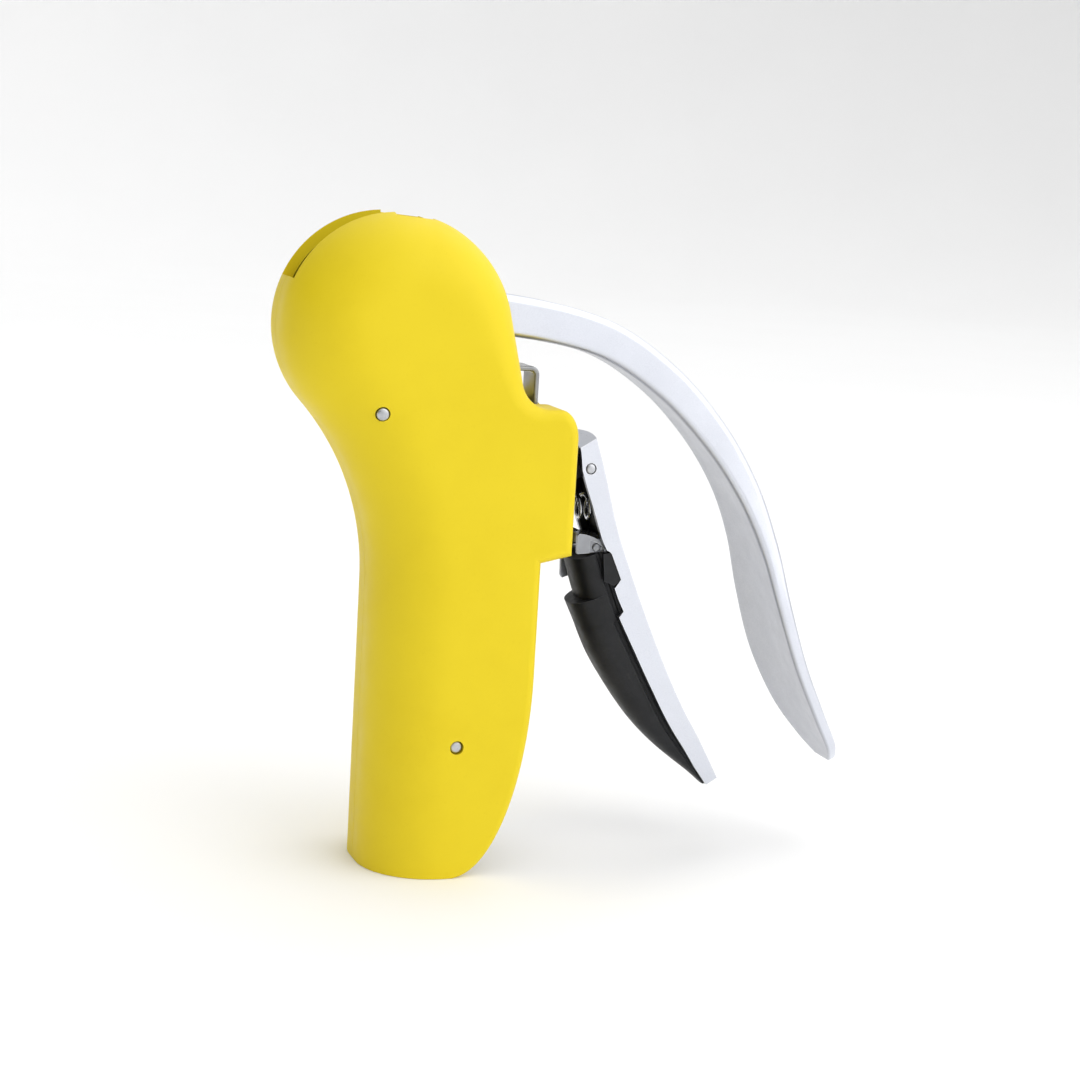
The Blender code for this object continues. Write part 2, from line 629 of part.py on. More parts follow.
def arm_rings():
    """Rounded oblong sections along the arm, dished on the inner face where the arm is wide."""
    rows = smooth_rows(ARM, 3)
    rings = []
    for (x, z, half, thick), way in zip(rows, directions(rows)):
        inward = Vector((way.y, -way.x))
        corner = min(thick * 0.36, half * 0.5)
        dish = SPOON_DISH * max(0.0, half - ARM[0][2])
        ring = []
        corners = ((1, thick - corner, 0), (1, corner, -90), (-1, corner, 180), (-1, thick - corner, 90))
        for centre_y, depth, first in corners:
            for step in range(3):
                angle = math.radians(first + 90 - 45 * step)
                y = centre_y * (half - corner) + corner * math.cos(angle)
                d = depth + corner * math.sin(angle)
                ring.append((y, d))
            if centre_y == -1 and first == 90:
                ring.append((0.0, thick - dish))
        rings.append([(x + inward.x * d, y, z + inward.y * d) for y, d in ring])
    return rings


def build_lever():
    """Toothed hub and arm, cast in one, with a bore for the axle."""
    centre = (HEAD_X, 0.0, HEAD_Z)
    lever = loft("lever", arm_rings(), CHROME, centre)
    core_half = ARM[0][2] + 0.05
    core = circle((HEAD_X, HEAD_Z), HUB_CORE_R, 32)
    boolean(lever, plate("join_hub_core", core, -core_half, core_half), "UNION")
    boolean(lever, plate("join_hub_sector", hub_sector(), -HUB_HALF, HUB_HALF), "UNION")
    bore = circle((HEAD_X, HEAD_Z), LEVER_AXLE_R + GAP, 24)
    cut(lever, plate("cut_lever_bore", bore, -2 * core_half, 2 * core_half))


# Trigger

def channel_section(half, depth, crown):
    """Half-round back and two flanges, as (y, distance in from the back edge) pairs round the sheet."""
    inner = half - TRIGGER_SHEET
    steps = 6
    back = [(half * (1 - 2 * step / steps)) for step in range(steps + 1)]
    outside = [(y, -crown * (1 - (y / half) ** 2)) for y in back]
    inside = [(y * inner / half, TRIGGER_SHEET - crown * (1 - (y / half) ** 2)) for y in reversed(back)]
    return [(half, depth), *outside, (-half, depth), (-inner, depth), *inside, (inner, depth)]


def trigger_roof(rows):
    """Sheet that closes the channel's top end."""
    x, z, half, depth, _ = rows[0]
    way = directions(rows)[0]
    inward = Vector((way.y, -way.x))
    inset = TRIGGER_SHEET / 2
    section = channel_section(half, depth, TRIGGER_CROWN * half)[:9]
    rings = []
    for along in (ROOF_DROP, ROOF_DROP + TRIGGER_SHEET):
        ring = []
        for y, d in section:
            d = min(max(d + inset, inset - TRIGGER_CROWN * half), depth - ROOF_DROP)
            y *= (half - inset) / half
            ring.append((x + way.x * along + inward.x * d, y, z + way.y * along + inward.y * d))
        rings.append(ring)
    return loft("join_roof", rings)


def build_trigger_channel():
    rows = smooth_rows(TRIGGER, 2)
    rings = []
    for (x, z, half, depth, _), way in zip(rows, directions(rows)):
        inward = Vector((way.y, -way.x))
        section = channel_section(half, depth, TRIGGER_CROWN * half)
        rings.append([(x + inward.x * d, y, z + inward.y * d) for y, d in section])
    pivot = (PIVOT_X, 0.0, PIVOT_Z)
    channel = loft("trigger_channel", rings, CHROME, pivot)
    boolean(channel, trigger_roof(rows), "UNION")
    bore = circle((PIVOT_X, PIVOT_Z), TRIGGER_PIN_R + GAP, 16)
    reach = 2 * TRIGGER[0][2]
    cut(channel, plate("cut_trigger_bore", bore, -reach, reach))


def build_trigger_pad():
    """Black rubber between the flanges, with a step below the bottle's lip and a trough for its neck."""
    rows = [row for row in smooth_rows(TRIGGER, 3) if row[1] < PAD_TOP]
    rings = []
    for (x, z, half, flange, depth), way in zip(rows, directions(rows)):
        inward = Vector((way.y, -way.x))
        width = half - TRIGGER_SHEET - GAP
        reach = depth - (PAD_STEP_DEPTH if z > PAD_STEP else 0.0)
        front = TRIGGER_SHEET + GAP
        lip = min(PAD_EDGE, (reach - front) / 3)
        section = [(width, front), (width, reach - lip), (width - lip, reach), (lip - width, reach),
                   (-width, reach - lip), (-width, front)]
        rings.append([(x + inward.x * d, y, z + inward.y * d) for y, d in section])
    pad = loft("trigger_pad", rings, RUBBER, (PIVOT_X, 0.0, PIVOT_Z))
    cut(pad, neck_cutter("cut_trough", NECK_R, -10.0, GUIDE_Z))


def neck_cutter(name, radius, low, high):
    """The bottle's neck as it stands to the open trigger, for the shut one's trough."""
    centre = Vector((PIVOT_X, PIVOT_Z))
    c, s = math.cos(TRIGGER_SWING), math.sin(TRIGGER_SWING)
    rings = []
    for z in (low, high):
        ring = []
        for x, y in circle((0.0, 0.0), radius, 40):
            away = Vector((x, z)) - centre
            ring.append((centre.x + away.x * c - away.y * s, y, centre.y + away.x * s + away.y * c))
        rings.append(ring)
    return loft(name, rings)


def build_trigger_jaw():
    """Bright plate above the pad, hollowed for the bottle's lip, and the rivet that holds it."""
    half = TRIGGER[0][2] - TRIGGER_SHEET - GAP
    pivot = (PIVOT_X, 0.0, PIVOT_Z)
    low = PAD_TOP + JAW_ABOVE_PAD
    high = low + JAW_H
    jaw = disc("trigger_jaw", box((JAW_FRONT, -half), (JAW_BACK, half)), low, high, CHROME, pivot)
    cut(jaw, disc("cut_jaw_hollow", circle((LIP_X, 0.0), LIP_R, 32), low - 1, high + 1))
    rivet = circle((RIVET_X, RIVET_Y), RIVET_R, 14)
    disc("jaw_rivet", rivet, low - GAP - RIVET_H, low - GAP, STEEL, pivot)


def build_trigger_pin():
    reach = TRIGGER[0][2] + 0.2
    outline = circle((PIVOT_X, PIVOT_Z), TRIGGER_PIN_R, 16)
    plate("trigger_pin", outline, -reach, reach, STEEL, (PIVOT_X, 0.0, PIVOT_Z))


def build_bracket():
    """Black block in the bump, with an eye for the trigger's pin, a spring seat and the strap's slot."""
    body = box((BRACKET_BACK, SEAT_TOP - 2.0), (BRACKET_FRONT, BRACKET_TOP))
    block = plate("trigger_bracket", body, -BRACKET_HALF, BRACKET_HALF, BLACK)
    root = BRACKET_FRONT - 2.0
    eye = [(root, PIVOT_Z - EYE_BELOW),
           *arc((PIVOT_X, PIVOT_Z), EYE_R, -math.pi / 2, math.pi / 2, 8),
           (root, PIVOT_Z + EYE_ABOVE)]
    boolean(block, plate("join_eye", eye, -EYE_HALF, EYE_HALF), "UNION")
    seat = box((SEAT_BACK, BRACKET_BOTTOM), (SEAT_FRONT, SEAT_TOP))
    boolean(block, plate("join_seat", seat, -SEAT_HALF, SEAT_HALF), "UNION")
    bore = circle((PIVOT_X, PIVOT_Z), TRIGGER_PIN_R + GAP, 16)
    cut(block, plate("cut_eye_bore", bore, -2 * EYE_HALF, 2 * EYE_HALF))
    room = box((STRAP_RIGHT - STRAP_SHEET - GAP, STRAP_FOOT - GAP), (STRAP_RIGHT + GAP, BRACKET_TOP + 1))
    cut(block, plate("cut_strap_slot", room, -STRAP_HALF - GAP, STRAP_HALF + GAP))


def build_spring():
    """Compression coil between the bracket's seat and the trigger's back."""
    start = SEAT_FRONT + GAP + SPRING_WIRE_R
    back = TRIGGER[2][0] + TRIGGER_CROWN * TRIGGER[2][2] - TRIGGER_SHEET
    end = back - SPRING_SEAT - GAP - SPRING_WIRE_R
    steps = 12 * SPRING_TURNS
    path = []
    for index in range(steps + 1):
        angle = 2 * math.pi * SPRING_TURNS * index / steps
        x = start + (end - start) * index / steps
        path.append((x, SPRING_R * math.cos(angle), SPRING_Z + SPRING_R * math.sin(angle)))
    tube_along("trigger_spring", path, [SPRING_WIRE_R] * len(path), 6, STEEL)


def build_strap():
    """Bright strap bent into an arch, one foot in the bracket and one beside the carriage."""
    outer = [(STRAP_LEFT, STRAP_FOOT),
             *arc((STRAP_LEFT + STRAP_BEND, STRAP_TOP - STRAP_BEND), STRAP_BEND, math.pi, math.pi / 2, 5),
             *arc((STRAP_RIGHT - STRAP_BEND, STRAP_TOP - STRAP_BEND), STRAP_BEND, math.pi / 2, 0.0, 5),
             (STRAP_RIGHT, STRAP_FOOT)]
    bend = STRAP_BEND - STRAP_SHEET
    inner = [(STRAP_RIGHT - STRAP_SHEET, STRAP_FOOT),
             *arc((STRAP_RIGHT - STRAP_BEND, STRAP_TOP - STRAP_BEND), bend, 0.0, math.pi / 2, 5),
             *arc((STRAP_LEFT + STRAP_BEND, STRAP_TOP - STRAP_BEND), bend, math.pi / 2, math.pi, 5),
             (STRAP_LEFT + STRAP_SHEET, STRAP_FOOT)]
    plate("bridge_strap", outer + inner, -STRAP_HALF, STRAP_HALF, CHROME)


for old in list(bpy.data.objects):
    bpy.data.objects.remove(old)

build_shells()
build_body_pins()
build_chassis()
build_axles()
build_idler()
build_racks()
build_carriage()
build_worm()
build_guide()
build_liner()
build_lever()
build_trigger_channel()
build_trigger_pad()
build_trigger_jaw()
build_trigger_pin()
build_bracket()
build_spring()
build_strap()
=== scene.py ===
"""Looks of a lever corkscrew: yellow clamshell body, satin lever and trigger, black rubber pad.

Shapes are worked out in millimetres and turned into metres as each mesh is made. The frame gives the
joints' places and the boxes of the CAD parts that the pieces stand for.
"""

import json
import math

import bmesh
import bpy
from mathutils import Matrix, Vector


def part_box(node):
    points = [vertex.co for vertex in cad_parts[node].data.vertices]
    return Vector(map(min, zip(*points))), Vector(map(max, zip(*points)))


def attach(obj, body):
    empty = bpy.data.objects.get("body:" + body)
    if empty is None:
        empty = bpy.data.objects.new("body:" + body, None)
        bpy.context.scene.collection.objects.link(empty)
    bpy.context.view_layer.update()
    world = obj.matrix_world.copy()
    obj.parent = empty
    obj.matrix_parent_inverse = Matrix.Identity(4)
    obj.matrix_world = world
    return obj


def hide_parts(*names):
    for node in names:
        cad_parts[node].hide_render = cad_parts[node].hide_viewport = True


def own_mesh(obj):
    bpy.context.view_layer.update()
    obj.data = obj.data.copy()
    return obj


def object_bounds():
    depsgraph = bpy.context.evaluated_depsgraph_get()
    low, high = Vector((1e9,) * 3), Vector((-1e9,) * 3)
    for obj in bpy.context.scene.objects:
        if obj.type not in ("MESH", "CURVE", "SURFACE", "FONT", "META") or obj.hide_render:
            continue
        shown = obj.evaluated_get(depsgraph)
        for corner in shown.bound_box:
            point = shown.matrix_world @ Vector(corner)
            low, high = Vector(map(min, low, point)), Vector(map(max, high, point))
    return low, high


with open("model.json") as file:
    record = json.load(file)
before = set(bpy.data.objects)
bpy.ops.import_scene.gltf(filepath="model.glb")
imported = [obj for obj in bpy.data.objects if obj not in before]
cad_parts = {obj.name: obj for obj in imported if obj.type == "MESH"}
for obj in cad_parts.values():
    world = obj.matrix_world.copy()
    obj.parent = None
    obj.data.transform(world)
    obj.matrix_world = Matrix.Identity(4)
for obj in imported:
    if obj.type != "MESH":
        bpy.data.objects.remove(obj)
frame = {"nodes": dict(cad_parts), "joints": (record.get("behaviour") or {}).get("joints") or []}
CAD_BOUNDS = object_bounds()
MM = 0.001


# Places that the frame gives, in millimetres

def joint_place(name):
    """X and Z of a joint's axis."""
    joint = next(j for j in frame["joints"] if j["name"] == name)
    return joint["pos_m"][0] / MM, joint["pos_m"][2] / MM


def limits(node):
    """Lowest and highest corner of a CAD node."""
    low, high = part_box(node)
    return low / MM, high / MM


HEAD_X, HEAD_Z = joint_place("lever_hinge")
IDLER_X, IDLER_Z = joint_place("idler_spin")
PIVOT_X, PIVOT_Z = joint_place("trigger_hinge")
JAW_LOW, JAW_HIGH = limits("trigger_jaw")

# Body
HALF_DEPTH = -limits("shell_near")[0].y
WALL = 2.5
SEAM = 0.1                      # half the gap between the shells
HEAD_R = 27.6
BACK_ROUND = 17.0               # rolling radius of the side's edge, at the back and in front
FRONT_ROUND = 2.6
CHEEK_FROM = math.radians(75)   # from here down the cheek that radius falls by CHEEK_LOSS
CHEEK_LOSS = 7.0
FILLET_MORE = 3.5               # what it has beyond FRONT_ROUND where the fillet starts
WAIST_Z = 70.0
CHEEK_LEAN = math.radians(9.0)
FRONT_X = 18.9
TAIL_HEIGHT = 50.0
BUMP_FRONT = 26.7
BUMP_TOP, BUMP_BOTTOM = 115.2, 77.8
BUMP_RISE = 1.8
BUMP_CORNER_X, BUMP_CORNER_Z = 4.8, 7.2
CHEEK_FILLET = 6.5
BACK_STEPS, WAIST_STEPS, HEAD_STEPS, FILLET_STEPS, CORNER_STEPS, TAIL_STEPS = 7, 24, 80, 14, 10, 36
SLOT_HALF = 6.3
SLOT_END = math.radians(156.5)
NOTCH_BACK, NOTCH_FRONT = -1.5, 8.0
NOTCH_BACK_DEPTH, NOTCH_FRONT_DEPTH = 1.0, 1.7
NOTCH_SIDE = 3.2
PINS = {"upper": (-22.6, 113.6), "lower": (-0.5, 32.9)}
FLAT_RIM = 1.0                  # flat strip inside the rolled edge, which keeps the side's shading even
PIN_R = 1.5
PIN_HOLE_R = 1.72
PIN_RECESS = 0.45

# Gears
MODULE = 1.5
HUB_TEETH = 22
IDLER_TEETH = 11
PRESSURE_ANGLE = math.radians(25)
TOOTH_SHARE = 0.44
LEVER_SWING = math.radians(132)
HUB_HALF = 5.0
HUB_CORE_R = 10.5
LEVER_BORE_R = 3.3
HUB_R = MODULE * HUB_TEETH / 2
ADDENDUM, DEDENDUM = 0.85 * MODULE, 1.05 * MODULE

# Lever's arm, hub to tip: place of its back edge, half width, thickness
ARM = [(-14.0, 141.4, 5.4, 10.0), (11.6, 141.4, 5.4, 10.0), (37.6, 136.2, 5.6, 9.4),
       (56.0, 125.4, 6.3, 8.8), (70.0, 111.3, 7.6, 8.0), (79.5, 96.3, 9.6, 6.6),
       (85.2, 81.2, 12.0, 5.0), (89.1, 66.0, 14.2, 3.9), (94.2, 50.4, 15.3, 3.3),
       (101.0, 36.6, 14.2, 3.0), (106.8, 27.8, 10.2, 2.8), (110.0, 22.8, 4.6, 2.4)]
SPOON_DISH = 0.16
ARM_EDGE = 1.8

# Trigger, top to tip: place of its back edge, half width
TRIGGER = [(34.9, 107.3, 8.8), (37.8, 98.5, 8.8), (42.0, 84.4, 8.8),
           (45.7, 75.0, 8.8), (50.0, 64.8, 8.8), (56.2, 51.5, 8.5),
           (62.8, 39.2, 7.6), (69.6, 28.8, 5.9), (76.4, 17.8, 3.6)]
TRIGGER_SHEET = 1.3
TRIGGER_CROWN = 0.12            # the back's rise, for each unit of half width
PIVOT_HOLE_R = 1.42
ROOF_SLOPE, ROOF_ROWS = 0.22, 8  # how much the cut top falls towards the front, faded over so many rows
# Depth of the trigger's flanges at heights on its back edge
FLANGE = [(106.3, 4.7), (103.9, 5.0), (100.9, 5.6), (96.5, 5.4), (93.3, 5.1), (89.0, 4.75), (83.5, 4.5),
          (80.6, 4.1), (80.2, 3.5), (79.7, 3.2), (72.7, 3.0), (71.7, 5.3), (69.0, 5.3), (65.4, 5.0),
          (64.7, 6.9), (64.0, 6.6), (55.3, 5.9), (45.0, 5.4), (33.6, 5.1), (23.5, 4.35), (17.8, 3.45)]
# Depth of the pad's front rim at heights on the trigger's back edge
BOSS_DEPTH = [(81.0, 12.3), (77.4, 12.6), (73.6, 12.9), (70.9, 13.0)]
CRESCENT_DEPTH = [(70.9, 15.8), (65.9, 15.5), (57.6, 15.3), (50.1, 14.2), (44.0, 13.1), (38.5, 11.8),
                  (29.4, 8.9), (21.6, 5.4), (17.8, 3.9)]
PAD_STEP, BOSS_TOP = 70.9, 80.6  # where the crescent gives way to the boss, and the boss's top
RIB_FROM, RIB_LEVEL = 64.0, 5.6  # above this height the pad's rib keeps one distance from the back
PAD_SQUARE = 0.80               # 1 is an ellipse, less is squarer
# Heights of the black sheet inside the channel, which is painted shade
SHADE_SHEET_BOTTOM, SHADE_SHEET_TOP = 76.0, 97.0
SHOULDER = 1.5                  # from the flange's edge to the pad's rib
SPRING_Z, SPRING_R, SPRING_WIRE_R, SPRING_TURNS = 89.0, 3.0, 0.55, 4
WORM_WIRE_R, HELIX_R, HELIX_PITCH = 1.5, 2.8, 10.0
HELIX_START = 107.65
HELIX_GROWTH = 0.73             # turns until the helix has its full radius
WORM_POINT, WORM_TAPER = 0.06, 3.6  # share of the wire's radius left at the tip, and how fast it grows


# Mesh helpers

def new_piece(name, points, faces):
    """A mesh object from points in millimetres, its faces turned outwards."""
    mesh = bpy.data.meshes.new(name)
    mesh.from_pydata([[value * MM for value in point] for point in points], [], faces)
    work = bmesh.new()
    work.from_mesh(mesh)
    bmesh.ops.remove_doubles(work, verts=work.verts, dist=0.0005 * MM)
    bmesh.ops.recalc_face_normals(work, faces=work.faces)
    work.to_mesh(mesh)
    work.free()
    result = bpy.data.objects.new(name, mesh)
    bpy.context.collection.objects.link(result)
    return result


def loft(name, rings):
    """A solid through rings of equal length, with a flat face at each end."""
    count = len(rings[0])
    points = [point for ring in rings for point in ring]
    faces = [tuple(range(count)), tuple(range(len(points) - count, len(points)))]
    for ring in range(len(rings) - 1):
        near, far = ring * count, (ring + 1) * count
        for side in range(count):
            after = (side + 1) % count
            faces.append((near + side, near + after, far + after, far + side))
    return new_piece(name, points, faces)


def plate(name, outline, low_y, high_y):
    """A flat plate: an outline in X and Z, from low_y to high_y."""
    return loft(name, [[(x, y, z) for x, z in outline] for y in (low_y, high_y)])


def disc(name, outline, low_z, high_z):
    """A flat block: an outline in X and Y, from low_z to high_z."""
    return loft(name, [[(x, y, z) for x, y in outline] for z in (low_z, high_z)])


def arc(centre, radius, start, end, steps):
    angles = [start + (end - start) * step / steps for step in range(steps + 1)]
    return [(centre[0] + radius * math.cos(a), centre[1] + radius * math.sin(a)) for a in angles]


def circle(centre, radius, steps=48):
    return arc(centre, radius, 0.0, 2 * math.pi, steps)[:-1]


def box(low, high):
    return [low, (high[0], low[1]), high, (low[0], high[1])]


def turned(name, profile, centre, steps=48):
    """A solid turned about a line along Y through centre, its profile in (radius, y) pairs."""
    rings = []
    for radius, y in profile:
        rings.append([(x, y, z) for x, z in circle(centre, max(radius, 0.01), steps)])
    return loft(name, rings)


def smooth_rows(rows, steps):
    """Rows of numbers with further rows between them on a smooth curve through all of them."""
    padded = [rows[0], *rows, rows[-1]]
    result = []
    for index in range(len(rows) - 1):
        before, start, end, after = padded[index:index + 4]
        for step in range(steps):
            t = step / steps
            result.append([0.5 * (2 * b + (c - a) * t + (2 * a - 5 * b + 4 * c - d) * t * t
                                  + (3 * b - a - 3 * c + d) * t ** 3)
                           for a, b, c, d in zip(before, start, end, after)])
    return result + [list(rows[-1])]


def directions(rows):
    """Unit direction in X and Z at each row of a smooth curve."""
    result = []
    for index in range(len(rows)):
        before, after = rows[max(index - 1, 0)], rows[min(index + 1, len(rows) - 1)]
        result.append(Vector((after[0] - before[0], after[1] - before[1])).normalized())
    return result


def along(table, value):
    """Linear reading of a table of (height, value) pairs, its heights falling."""
    if value >= table[0][0]:
        return table[0][1]
    for (high, first), (low, second) in zip(table, table[1:]):
        if value >= low:
            return first + (second - first) * (high - value) / (high - low)
    return table[-1][1]


def boolean(target, other, operation="DIFFERENCE"):
    modifier = target.modifiers.new(other.name, "BOOLEAN")
    modifier.operation = operation
    modifier.object = other
    modifier.solver = "EXACT"


def bevel(target, width, segments=2, angle=35):
    modifier = target.modifiers.new("edges", "BEVEL")
    modifier.width = width * MM
    modifier.segments = segments
    modifier.limit_method = "ANGLE"
    modifier.angle_limit = math.radians(angle)
    modifier.use_clamp_overlap = True
    modifier.miter_outer = "MITER_ARC"


def settle(target, smooth=40):
    """Applies the modifiers, removes the cutters and smooths the shading below the given angle."""
    tools = [m.object for m in target.modifiers if m.type == "BOOLEAN"]
    graph = bpy.context.evaluated_depsgraph_get()
    mesh = bpy.data.meshes.new_from_object(target.evaluated_get(graph))
    target.modifiers.clear()
    target.data = mesh
    for tool in tools:
        bpy.data.objects.remove(tool)
    mesh.shade_smooth()
    mesh.set_sharp_from_angle(angle=math.radians(smooth))
    weighted = target.modifiers.new("normals", "WEIGHTED_NORMAL")
    weighted.keep_sharp = True
    return target


def wire(name, path, radius, sides=12, radii=None):
    """A round wire along a path, flat at both ends."""
    rings = []
    up = Vector((0.0, 1.0, 0.0))
    for index, point in enumerate(path):
        before, after = path[max(index - 1, 0)], path[min(index + 1, len(path) - 1)]
        forward = (Vector(after) - Vector(before)).normalized()
        across = forward.cross(up).normalized()
        up = across.cross(forward)
        r = radii[index] if radii else radius
        rings.append([tuple(Vector(point) + (across * math.cos(a) + up * math.sin(a)) * r)
                      for a in (2 * math.pi * side / sides for side in range(sides))])
    return loft(name, rings)


# Materials

class Surface:
    """A Principled material whose colour, roughness and bump come from procedural nodes."""

    def __init__(self, name, roughness, metallic=0.0):
        self.material = bpy.data.materials.new(name)
        self.material.use_nodes = True
        self.tree = self.material.node_tree
        self.shader = self.tree.nodes["Principled BSDF"]
        self.shader.inputs["Metallic"].default_value = metallic
        self.shader.inputs["Roughness"].default_value = roughness
        coordinates = self.node("ShaderNodeTexCoord")
        self.place = coordinates.outputs["Object"]
        self.normal_place = coordinates.outputs["Normal"]
        self.normal = None

    def node(self, kind, **settings):
        result = self.tree.nodes.new(kind)
        for key, value in settings.items():
            setattr(result, key, value)
        return result

    def link(self, source, target):
        self.tree.links.new(source, target)

    def noise(self, size, detail=3.0, stretch=(1, 1, 1), distortion=0.0):
        """Noise with features of about the given size in millimetres."""
        mapping = self.node("ShaderNodeMapping")
        mapping.inputs["Scale"].default_value = stretch
        self.link(self.place, mapping.inputs["Vector"])
        result = self.node("ShaderNodeTexNoise")
        result.inputs["Scale"].default_value = 1.0 / (size * MM)
        result.inputs["Detail"].default_value = detail
        result.inputs["Roughness"].default_value = 0.6
        result.inputs["Distortion"].default_value = distortion
        self.link(mapping.outputs["Vector"], result.inputs["Vector"])
        return result.outputs["Fac"]

    def ramp(self, value, *stops):
        """A colour ramp from (position, colour) stops."""
        result = self.node("ShaderNodeValToRGB")
        elements = result.color_ramp.elements
        while len(elements) < len(stops):
            elements.new(0.5)
        for element, (position, colour) in zip(elements, stops):
            element.position = position
            element.color = (*colour, 1.0)
        self.link(value, result.inputs["Fac"])
        return result.outputs["Color"]

    def spread(self, value, low, high, start=0.3, end=0.7):
        """The value's middle range mapped to low..high."""
        result = self.node("ShaderNodeMapRange")
        for key, number in (("From Min", start), ("From Max", end), ("To Min", low), ("To Max", high)):
            result.inputs[key].default_value = number
        self.link(value, result.inputs["Value"])
        return result.outputs["Result"]

    def mix(self, factor, first, second):
        result = self.node("ShaderNodeMix", data_type="RGBA")
        self.link(factor, result.inputs["Factor"])
        self.link(first, result.inputs["A"])
        self.link(second, result.inputs["B"])
        return result.outputs["Result"]

    def bump(self, value, strength, distance):
        """Adds a bump, its height in millimetres."""
        result = self.node("ShaderNodeBump")
        result.inputs["Strength"].default_value = strength
        result.inputs["Distance"].default_value = distance * MM
        self.link(value, result.inputs["Height"])
        if self.normal:
            self.link(self.normal, result.inputs["Normal"])
        self.normal = result.outputs["Normal"]

    def facing(self, direction, low, high):
        """0 to 1 as the surface's own normal comes to face a direction."""
        dot = self.node("ShaderNodeVectorMath", operation="DOT_PRODUCT")
        dot.inputs[1].default_value = direction
        self.link(self.normal_place, dot.inputs[0])
        return self.spread(dot.outputs["Value"], 0.0, 1.0, low, high)

    def worn_edges(self, colour, worn, width=0.3):
        """Mixes a worn colour in within the given width, in millimetres, of an edge."""
        rounded = self.node("ShaderNodeBevel", samples=6)
        rounded.inputs["Radius"].default_value = width * MM
        dot = self.node("ShaderNodeVectorMath", operation="DOT_PRODUCT")
        self.link(rounded.outputs["Normal"], dot.inputs[0])
        self.link(self.node("ShaderNodeNewGeometry").outputs["Normal"], dot.inputs[1])
        return self.mix(self.spread(dot.outputs["Value"], 0.0, 1.0, 0.985, 0.88), colour, worn)

    def done(self, colour, roughness=None):
        self.link(colour, self.shader.inputs["Base Color"])
        if roughness:
            self.link(roughness, self.shader.inputs["Roughness"])
        if self.normal:
            self.link(self.normal, self.shader.inputs["Normal"])
        return self.material


def yellow_plastic():
    """Soft-touch yellow plastic, faintly mottled, with a fine moulded grain and paler edges."""
    s = Surface("yellow_plastic", 0.5)
    s.shader.inputs["Specular IOR Level"].default_value = 0.2
    colour = s.ramp(s.noise(28.0, 2.0), (0.3, (0.735, 0.562, 0.011)), (0.7, (0.775, 0.604, 0.015)))
    speck = s.ramp(s.noise(0.9, 4.0), (0.30, (0.725, 0.55, 0.010)), (0.42, (0.775, 0.60, 0.014)))
    colour = s.mix(s.spread(s.noise(5.0, 3.0), 0.0, 0.5), colour, speck)
    pale = s.ramp(s.noise(3.0), (0.3, (0.80, 0.635, 0.03)), (0.7, (0.82, 0.655, 0.04)))
    colour = s.worn_edges(colour, pale)
    s.bump(s.noise(0.16, 2.0), 0.18, 0.012)
    s.bump(s.noise(14.0, 1.0), 0.25, 0.05)
    return s.done(colour, s.spread(s.noise(6.0, 4.0), 0.40, 0.52))


def satin_metal():
    """Satin-plated casting: pale lavender grey, fine grain, polished edges, and painted shade on the
    faces that point inwards and down.
    """
    s = Surface("satin_metal", 0.34, 1.0)
    colour = s.ramp(s.noise(16.0, 3.0), (0.3, (0.64, 0.66, 0.72)), (0.7, (0.70, 0.72, 0.78)))
    grain = s.ramp(s.noise(0.35, 3.0), (0.3, (0.60, 0.62, 0.68)), (0.6, (0.70, 0.72, 0.78)))
    colour = s.mix(s.spread(s.noise(2.5, 3.0), 0.1, 0.6), colour, grain)
    bright = s.ramp(s.noise(2.0), (0.3, (0.86, 0.87, 0.90)), (0.7, (0.92, 0.92, 0.94)))
    colour = s.worn_edges(colour, bright)
    # Painted shade: faces that turn inwards and downwards get a darker grey, as if out of the light.
    inward_shade = s.ramp(s.noise(0.5, 4.0), (0.3, (0.43, 0.44, 0.475)), (0.7, (0.49, 0.50, 0.535)))
    colour = s.mix(s.facing((-0.8, 0.0, -0.6), 0.25, 0.85), colour, inward_shade)
    s.bump(s.noise(0.22, 2.0), 0.22, 0.010)
    s.bump(s.noise(9.0, 2.0), 0.2, 0.03)
    return s.done(colour, s.spread(s.noise(4.0, 4.0), 0.30, 0.42))


def bright_metal():
    """Polished plated sheet with faint wiping marks."""
    s = Surface("bright_metal", 0.18, 1.0)
    colour = s.ramp(s.noise(8.0, 3.0), (0.3, (0.50, 0.51, 0.54)), (0.7, (0.60, 0.61, 0.64)))
    scratches = s.noise(0.5, 4.0, stretch=(1, 1, 0.06))
    s.bump(scratches, 0.15, 0.006)
    return s.done(colour, s.spread(s.noise(1.2, 4.0, stretch=(1, 1, 0.1)), 0.12, 0.26))


def dark_metal():
    """Polished steel coloured dark, brighter where its edges are rubbed."""
    s = Surface("dark_metal", 0.2, 0.5)
    colour = s.ramp(s.noise(5.0, 3.0), (0.3, (0.27, 0.28, 0.30)), (0.7, (0.35, 0.36, 0.385)))
    rubbed = s.ramp(s.noise(1.0), (0.3, (0.66, 0.67, 0.70)), (0.7, (0.78, 0.79, 0.82)))
    colour = s.worn_edges(colour, rubbed, 0.25)
    s.bump(s.noise(0.5, 4.0, stretch=(1, 1, 0.06)), 0.15, 0.006)
    return s.done(colour, s.spread(s.noise(1.2, 4.0, stretch=(1, 1, 0.1)), 0.14, 0.28))


def turned_steel():
    """Bare steel of pins, nuts and axles: fine turning marks and a slightly matt face."""
    s = Surface("turned_steel", 0.3, 1.0)
    colour = s.ramp(s.noise(1.6, 4.0), (0.3, (0.40, 0.41, 0.43)), (0.7, (0.55, 0.56, 0.585)))
    bright = s.ramp(s.noise(1.0), (0.3, (0.80, 0.80, 0.82)), (0.7, (0.88, 0.88, 0.9)))
    colour = s.worn_edges(colour, bright)
    s.bump(s.noise(0.2, 3.0, stretch=(1, 0.2, 1)), 0.25, 0.008)
    return s.done(colour, s.spread(s.noise(0.8, 4.0), 0.24, 0.44))


